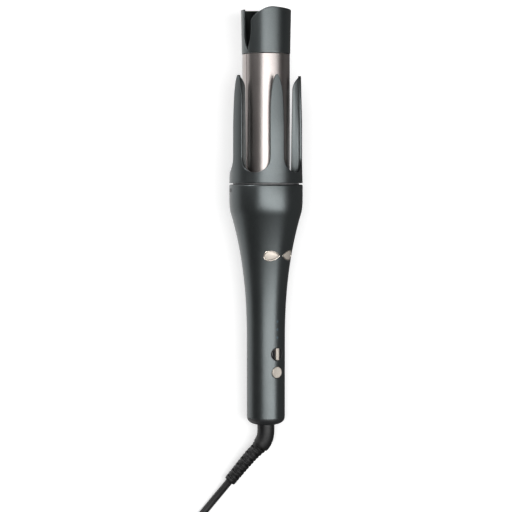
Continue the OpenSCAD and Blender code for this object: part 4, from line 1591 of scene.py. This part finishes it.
@dataclass
class SelectorBar:
    """The bright bar across the selector's disc."""

    width: float = 2.5 * MM
    height: float = 54 * MM
    radius: float = 4.55 * MM
    front: float = 15.2 * MM
    foot: float = 13.9 * MM

    def build(self) -> bpy.types.Object:
        """Shapes the bar from a rounded outline, with a softened top.

        Returns:
            The bar.
        """
        half = self.width / 2
        corner = math.sqrt(self.radius ** 2 - half ** 2)
        crown = [(self.radius * math.sin(t), self.radius * math.cos(t)) for t in (0.14, 0, -0.14)]
        outline = [(half, -corner), (half, corner), *crown, (-half, corner), (-half, -corner),
                   *[(-x, -z) for x, z in crown]]
        points = [Vector((x, -self.foot, self.height + z)) for x, z in outline]
        bar = plate("selector_bright_bar", points, Vector((0, self.foot - self.front, 0)))
        soften(bar, 0.3 * MM, 3, clamp=True)
        shade(bar)
        return bar


# ---------------------------------------------------------------------------
# Claws, barrel and tip
# ---------------------------------------------------------------------------


@dataclass
class ClawRing:
    """The turning ring with its claws, each with a rib that runs close to the barrel."""

    count: int = 5
    first: float = -90.0
    bottom: float = 181.9 * MM
    web_top: float = 185.5 * MM
    gap_bottom: float = 189.8 * MM
    tip: float = 262 * MM
    taper: float = 27 * MM
    middle_radius: float = 27 * MM
    half_width: float = 5.9 * MM
    shell: float = 2.2 * MM
    rib: float = 2.4 * MM
    rib_taper: float = 6 * MM
    inset: float = 0.75 * MM
    columns: int = 18
    straight_radius: float = 27.1 * MM
    straight_from: float = 206 * MM
    straight_to: float = 225 * MM
    foot_flare: float = 0.5 * MM
    tip_lean: float = 0.9 * MM

    def radius(self, height: float) -> float:
        """Follows the ring's flared foot, its straight middle and the tips, which lean in.

        Args:
            height: The height on the tool.

        Returns:
            The outer radius.
        """
        if height < self.straight_from:
            share = (self.straight_from - height) / (self.straight_from - self.bottom)
            return self.straight_radius + self.foot_flare * share ** 2
        if height < self.straight_to:
            return self.straight_radius
        share = (height - self.straight_to) / (self.tip - self.straight_to)
        return self.straight_radius - self.tip_lean * share

    def half_angle(self, height: float) -> float:
        """Finds half the angle that a claw covers: round gaps below and a blunt point above.

        Args:
            height: The height on the tool.

        Returns:
            The half angle, in radians.
        """
        half_pitch = math.pi / self.count
        middle = self.middle_radius * math.sin(half_pitch)
        gap = middle - self.half_width * math.cos(half_pitch)
        rise = height - self.gap_bottom
        if rise <= 0:
            return half_pitch
        if rise < gap:
            gap = math.sqrt(gap ** 2 - (gap - rise) ** 2)
        start = self.tip - self.taper
        if height > start:
            bluntness, tip_width = 2.2, 0.25 * MM
            share = (height - start) / (self.taper + tip_width)
            gap = middle - (middle - gap) * math.sqrt(max(0.0, 1 - share ** bluntness))
        return half_pitch - math.asin(min(1.0, gap / self.radius(height)))

    def rows(self) -> list[float]:
        """Spaces a claw's rows, close together where its edge curves.

        Returns:
            The heights, lowest first.
        """
        half_pitch = math.pi / self.count
        gap = self.middle_radius * math.sin(half_pitch) - self.half_width * math.cos(half_pitch)
        heights = [self.bottom + step * MM for step in (0, 0.8, 2.2, 3.8, 5.6, 7.2)]
        heights += [self.gap_bottom + gap * (1 - math.cos(math.radians(a))) for a in range(0, 91, 6)]
        start = self.tip - self.taper
        low = heights[-1]
        heights += [low + (start - low) * i / 9 for i in range(1, 10)]
        return heights + [start + self.taper * math.sin(math.radians(a))
                          for a in (8, 16, 24, 32, 40, 48, 56, 63, 70, 76, 81, 85, 88)]

    def build(self) -> bpy.types.Object:
        """Builds one claw, copies it round and joins the ribs and the web.

        Returns:
            The claw ring.
        """
        heights = self.rows()
        last = len(heights) - 1

        def place(across: float, up: float) -> Vector:
            """Places a point of a claw's back, with narrow columns along both edges.

            Args:
                across: The share from the left edge to the right one.
                up: The share of the rows from the bottom.

            Returns:
                The point on the upright tool.
            """
            height = heights[round(up * last)]
            half = self.half_angle(height)
            width = half * self.radius(height)
            most_edge = 0.3
            edge = min(self.inset / width, most_edge)
            column = round(across * self.columns)
            if column == 0 or column == self.columns:
                share = -1.0 if column == 0 else 1.0
            else:
                share = (1 - edge) * (2 * (column - 1) / (self.columns - 2) - 1)
            return around(math.degrees(half * share), self.radius(height), height)

        claw = panel("claw_back", self.columns, last, place)
        shell = join(spread_round(claw, self.first, self.count), "claw_shell")
        clean(shell)
        apply_modifier(shell, "SOLIDIFY", thickness=self.shell, offset=-1)
        soften(shell, 0.5 * MM, 3)
        ribs = spread_round(self._rib(), self.first, self.count)
        bore, outside = 19.95 * MM, 25.2 * MM
        web = lathe("claw_web", [(bore, self.bottom), (outside, self.bottom), (outside, self.web_top),
                                 (bore + 0.35 * MM, self.web_top), (bore, self.web_top - 0.4 * MM),
                                 (bore, self.bottom)], sides=120)
        ring = join([shell, *ribs, web], "claw_ring_shell")
        shade(ring)
        return ring

    def _rib(self) -> bpy.types.Object:
        """Cuts one rib from plate and softens its edges.

        Returns:
            The rib.
        """
        foot = 188.8 * MM
        root = self.web_top - 1 * MM
        nose_low, nose_high, back = 18.7 * MM, 19.7 * MM, 25.4 * MM
        slope, slope_steps, slope_power = 11.4 * MM, 12, 2.3
        side = [(back, root), (22.3 * MM, root), (22.3 * MM, foot), (nose_low + 0.6 * MM, foot),
                (nose_low, foot + 1.2 * MM), (nose_high, self.tip - slope)]
        for i in range(1, slope_steps):
            share = i / slope_steps
            radius = nose_high + (back - nose_high) * share ** slope_power
            side.append((radius, self.tip - slope * (1 - share)))
        side.append((back - 0.1 * MM, self.tip - 0.9 * MM))
        outline = [Vector((-self.rib / 2, -radius, height)) for radius, height in side]
        rib = plate("claw_rib", outline, Vector((self.rib, 0, 0)))
        self._shape_rib(rib, 20.9 * MM, back)
        soften(rib, 0.4 * MM, 3, 60, clamp=True)
        return rib

    def _shape_rib(self, rib: bpy.types.Object, start: float, back: float) -> None:
        """Thickens a rib evenly from its nose to the claw's back, and thins it to the tip.

        Args:
            rib: The rib.
            start: The radius where the thickening starts.
            back: The radius of the rib's back.
        """
        spread = 0.6
        with editing(rib):
            bpy.ops.mesh.bisect(plane_co=(0, -start, 0), plane_no=(0, 1, 0))
        for point in rib.data.vertices:
            if -point.co.y > start:
                point.co.x *= 1 + spread * (-point.co.y - start) / (back - start)
            point.co.x *= min(1.0, math.sqrt((self.tip - point.co.z) / self.rib_taper))


@dataclass
class Barrel:
    """The polished heated barrel with its long groove."""

    radius: float = 17.8 * MM
    wall: float = 1.2 * MM
    bottom: float = 181.2 * MM
    top: float = 278 * MM
    groove_angle: float = -90.0
    groove_bottom: float = 188 * MM
    groove_depth: float = 0.5 * MM
    sides: int = 192

    def build(self) -> bpy.types.Object:
        """Turns the tube and sinks the groove.

        Returns:
            The barrel.
        """
        soft = 0.3 * MM
        inner = self.radius - self.wall
        steps = 8
        walls = [(self.radius, self.groove_bottom + (self.top - soft - self.groove_bottom) * i / steps)
                 for i in range(steps + 1)]
        profile = [(inner, self.bottom), (self.radius - soft, self.bottom), (self.radius, self.bottom + soft)]
        profile += walls + [(self.radius - soft, self.top), (inner, self.top), (inner, self.bottom)]
        barrel = lathe("barrel_tube", profile, sides=self.sides)
        half_step = 180 / self.sides
        barrel.data.transform(Matrix.Rotation(math.radians(half_step), 4, "Z"))
        target = around(self.groove_angle, 1, 0)
        column = math.cos(math.radians(half_step * 0.6))
        least_radius, groove_top = self.radius - 0.2 * MM, self.top - 0.5 * MM

        def in_groove(face: bpy.types.MeshPolygon) -> bool:
            """Tells whether a face is in the groove's column."""
            flat = Vector((face.center.x, face.center.y, 0))
            level = self.groove_bottom < face.center.z < groove_top
            return level and flat.length > least_radius and flat.normalized().dot(target) > column

        with editing(barrel, wanted=in_groove):
            bpy.ops.mesh.extrude_region_shrink_fatten(
                TRANSFORM_OT_shrink_fatten={"value": -self.groove_depth})
        shade(barrel)
        return barrel


@dataclass
class TipCap:
    """The cool tip: a cup with two swept lobes and a bullet-shaped notch on each side between them."""

    lobes: int = 2
    bottom: float = 278.1 * MM
    floor: float = 283 * MM
    top: float = 312.2 * MM
    low_radius: float = 18.1 * MM
    high_radius: float = 18.8 * MM
    wall: float = 1.7 * MM
    notch_angle: float = -87.0
    notch_half: float = 4.2 * MM
    notch_bottom: float = 280.6 * MM
    notch_curve: float = 34 * MM
    lobe_curve: float = 11.2 * MM
    lobe_shift: float = -7.2 * MM
    lobe_fall: float = 1.6 * MM
    fall_reach: float = 27.2 * MM
    columns: int = 72
    rows: int = 26

    def radius(self, height: float) -> float:
        """Returns the outer radius at a height."""
        share = (height - self.bottom) / (self.top - self.bottom)
        return self.low_radius + (self.high_radius - self.low_radius) * share

    def notch(self, height: float) -> float:
        """Finds the notch's half width, which narrows to a point below.

        Args:
            height: The height on the tool.

        Returns:
            The half width, 0 below the notch.
        """
        rise = math.sqrt(self.notch_curve ** 2 - (self.notch_curve - self.notch_half) ** 2)
        below = self.notch_bottom + rise - height
        if below <= 0:
            return self.notch_half
        if height <= self.notch_bottom:
            return 0.0
        return max(0.0, math.sqrt(self.notch_curve ** 2 - below ** 2) - self.notch_curve + self.notch_half)

    def lobe_top(self, across: float) -> float:
        """Follows the lobe's rim, round on the left and slowly falling to the right.

        Args:
            across: The distance to the right of its middle.

        Returns:
            The height.
        """
        reach = across - self.lobe_shift
        if reach > 0:
            return self.top - self.lobe_fall * reach / self.fall_reach
        return self.top - self.lobe_curve + math.sqrt(max(0.0, self.lobe_curve ** 2 - reach ** 2))

    def build(self) -> bpy.types.Object:
        """Builds one lobe, copies it round and joins the floor.

        Returns:
            The tip cap.
        """
        half_pitch = math.pi / self.lobes
        start = self.notch_bottom - 1.6 * MM
        low_share, row_power, edge = 0.035, 1.35, 0.016
        count = self.rows - 3
        levels = [0, 0.02, low_share]
        levels += [low_share + (1 - low_share) * (i / count) ** row_power for i in range(1, count)]
        levels += [0.972, 1.0]
        last = len(levels) - 1
        widest = half_pitch - math.asin(self.notch_half / self.high_radius)

        def place(across: float, up: float) -> Vector:
            """Places a point of the lobe's wall.

            Args:
                across: The share from the left edge to the right one.
                up: The share of the rows from the bottom.

            Returns:
                The point on the upright tool.
            """
            column = round(across * self.columns)
            share = {0: -1.0, self.columns: 1.0}.get(
                column, (1 - edge) * (2 * (column - 1) / (self.columns - 2) - 1))
            crest = self.lobe_top(self.high_radius * math.sin(widest * share))
            height = start + (crest - start) * levels[round(up * last)]
            half = half_pitch - math.asin(self.notch(height) / self.radius(height))
            return around(math.degrees(half * share), self.radius(height), height)

        lobe = panel("lobe_wall", self.columns, last, place)
        wall = join(spread_round(lobe, self.notch_angle + 180 / self.lobes, self.lobes), "tip_wall")
        self._close_foot(wall, start)
        clean(wall)
        apply_modifier(wall, "SOLIDIFY", thickness=self.wall, offset=-1, use_even_offset=True)
        soften(wall, 0.34 * MM, 3)
        inner = self.low_radius - self.wall + 0.1 * MM
        hole, underside, chamfer = 1.25 * MM, 280 * MM, 0.2 * MM
        floor = lathe("tip_floor", [(hole, underside), (inner, underside), (inner, self.floor),
                                    (hole + chamfer, self.floor), (hole, self.floor - chamfer),
                                    (hole, underside)])
        cap = join([wall, floor], "tip_cap_shell")
        shade(cap)
        return cap

    def _close_foot(self, wall: bpy.types.Object, start: float) -> None:
        """Extrudes the wall's lower edge down to the barrel.

        Args:
            wall: The wall of all the lobes.
            start: The height of the wall's lower edge.
        """
        tolerance, drop = 0.05 * MM, self.bottom + 0.1 * MM - start
        ratio = self.radius(self.bottom) / self.radius(start)
        clean(wall, outward=False)
        with editing(wall, "VERT", lambda point: abs(point.co.z - start) < tolerance):
            bpy.ops.mesh.extrude_region_move(TRANSFORM_OT_translate={"value": (0, 0, drop)})
            bpy.ops.transform.resize(value=(ratio, ratio, 1), center_override=(0, 0, self.bottom))


# ---------------------------------------------------------------------------
# The whole curler
# ---------------------------------------------------------------------------


def main() -> None:
    """Builds the camera and cord first, then each sub-assembly in order."""
    logging.basicConfig(level=logging.INFO, format="%(name)s: %(message)s")
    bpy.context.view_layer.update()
    studio = Studio()
    studio.set_camera()
    wardrobe = Wardrobe()
    wardrobe.build()
    wardrobe.dress_frame()

    cord_plan = Cord()
    cord, length = cord_plan.build()
    wardrobe.place(cord, "cord_rubber", "body", ["cord_run", "cord_coil", "cord_tail"])
    relief_route = in_metres(cord_plan.relief_route)
    relief = StrainRelief().build(relief_route)
    wardrobe.place(relief, "cord_rubber", "body", ["strain_relief"])
    plug = Plug(cord_plan.tail_route()[-1]).build()
    wardrobe.place(plug, "cord_rubber", "body", ["plug_body"])
    strap = CoilTie().build()
    wardrobe.place(strap, "tie_strap", "body", ["cord_tie"])

    handle = Handle()
    leaf = LeafButtons(handle)
    power = RoundControl(handle, "power", 40.3 * MM, 4.2 * MM)
    selector = RoundControl(handle, "selector", 54 * MM, 4.6 * MM)
    lights = Lights()
    sleeve = handle.build_sleeve(leaf, [power, selector], lights)
    wardrobe.place(TOOL.lay(sleeve), "shell", "body", ["handle_sleeve"])
    wardrobe.place(TOOL.lay(handle.build_tail()), "dark_trim", "body", ["tail_cap"])
    for side, name in ((-1, "left_button"), (1, "right_button")):
        button = leaf.build_button(side, f"{name}_face")
        wardrobe.place(TOOL.lay(button), "champagne", name, [name])
    wardrobe.place(TOOL.lay(leaf.build_rims()), "champagne", "body", ["leaf_bezels"], "bright_rim")
    wardrobe.place(TOOL.lay(power.build_rim()), "champagne", "body", ["power_bezel"], "shell")
    wardrobe.place(TOOL.lay(selector.build_rim()), "champagne", "body", ["selector_bezel"], "dark_trim")
    power_cap = power.build_cap(front=14.4 * MM, depth=3.2 * MM, hollow=0.12 * MM)
    wardrobe.place(TOOL.lay(power_cap), "champagne", "power_button", ["power_button"])
    disc = selector.build_cap(front=14.0 * MM, depth=1.6 * MM, hollow=0.05 * MM)
    wardrobe.place(TOOL.lay(disc), "selector_disc", "selector", ["selector"])
    wardrobe.place(TOOL.lay(SelectorBar().build()), "champagne", "selector", ["selector_bar"])

    wardrobe.place(TOOL.lay(ClawRing().build()), "shell", "claw_rotor", ["claw_ring"])
    wardrobe.place(TOOL.lay(Barrel().build()), "barrel_metal", "body", ["barrel"])
    wardrobe.place(TOOL.lay(TipCap().build()), "shell", "body", ["tip_cap"])

    studio.set_floor()
    studio.set_light()


if __name__ == "__main__":
    main()
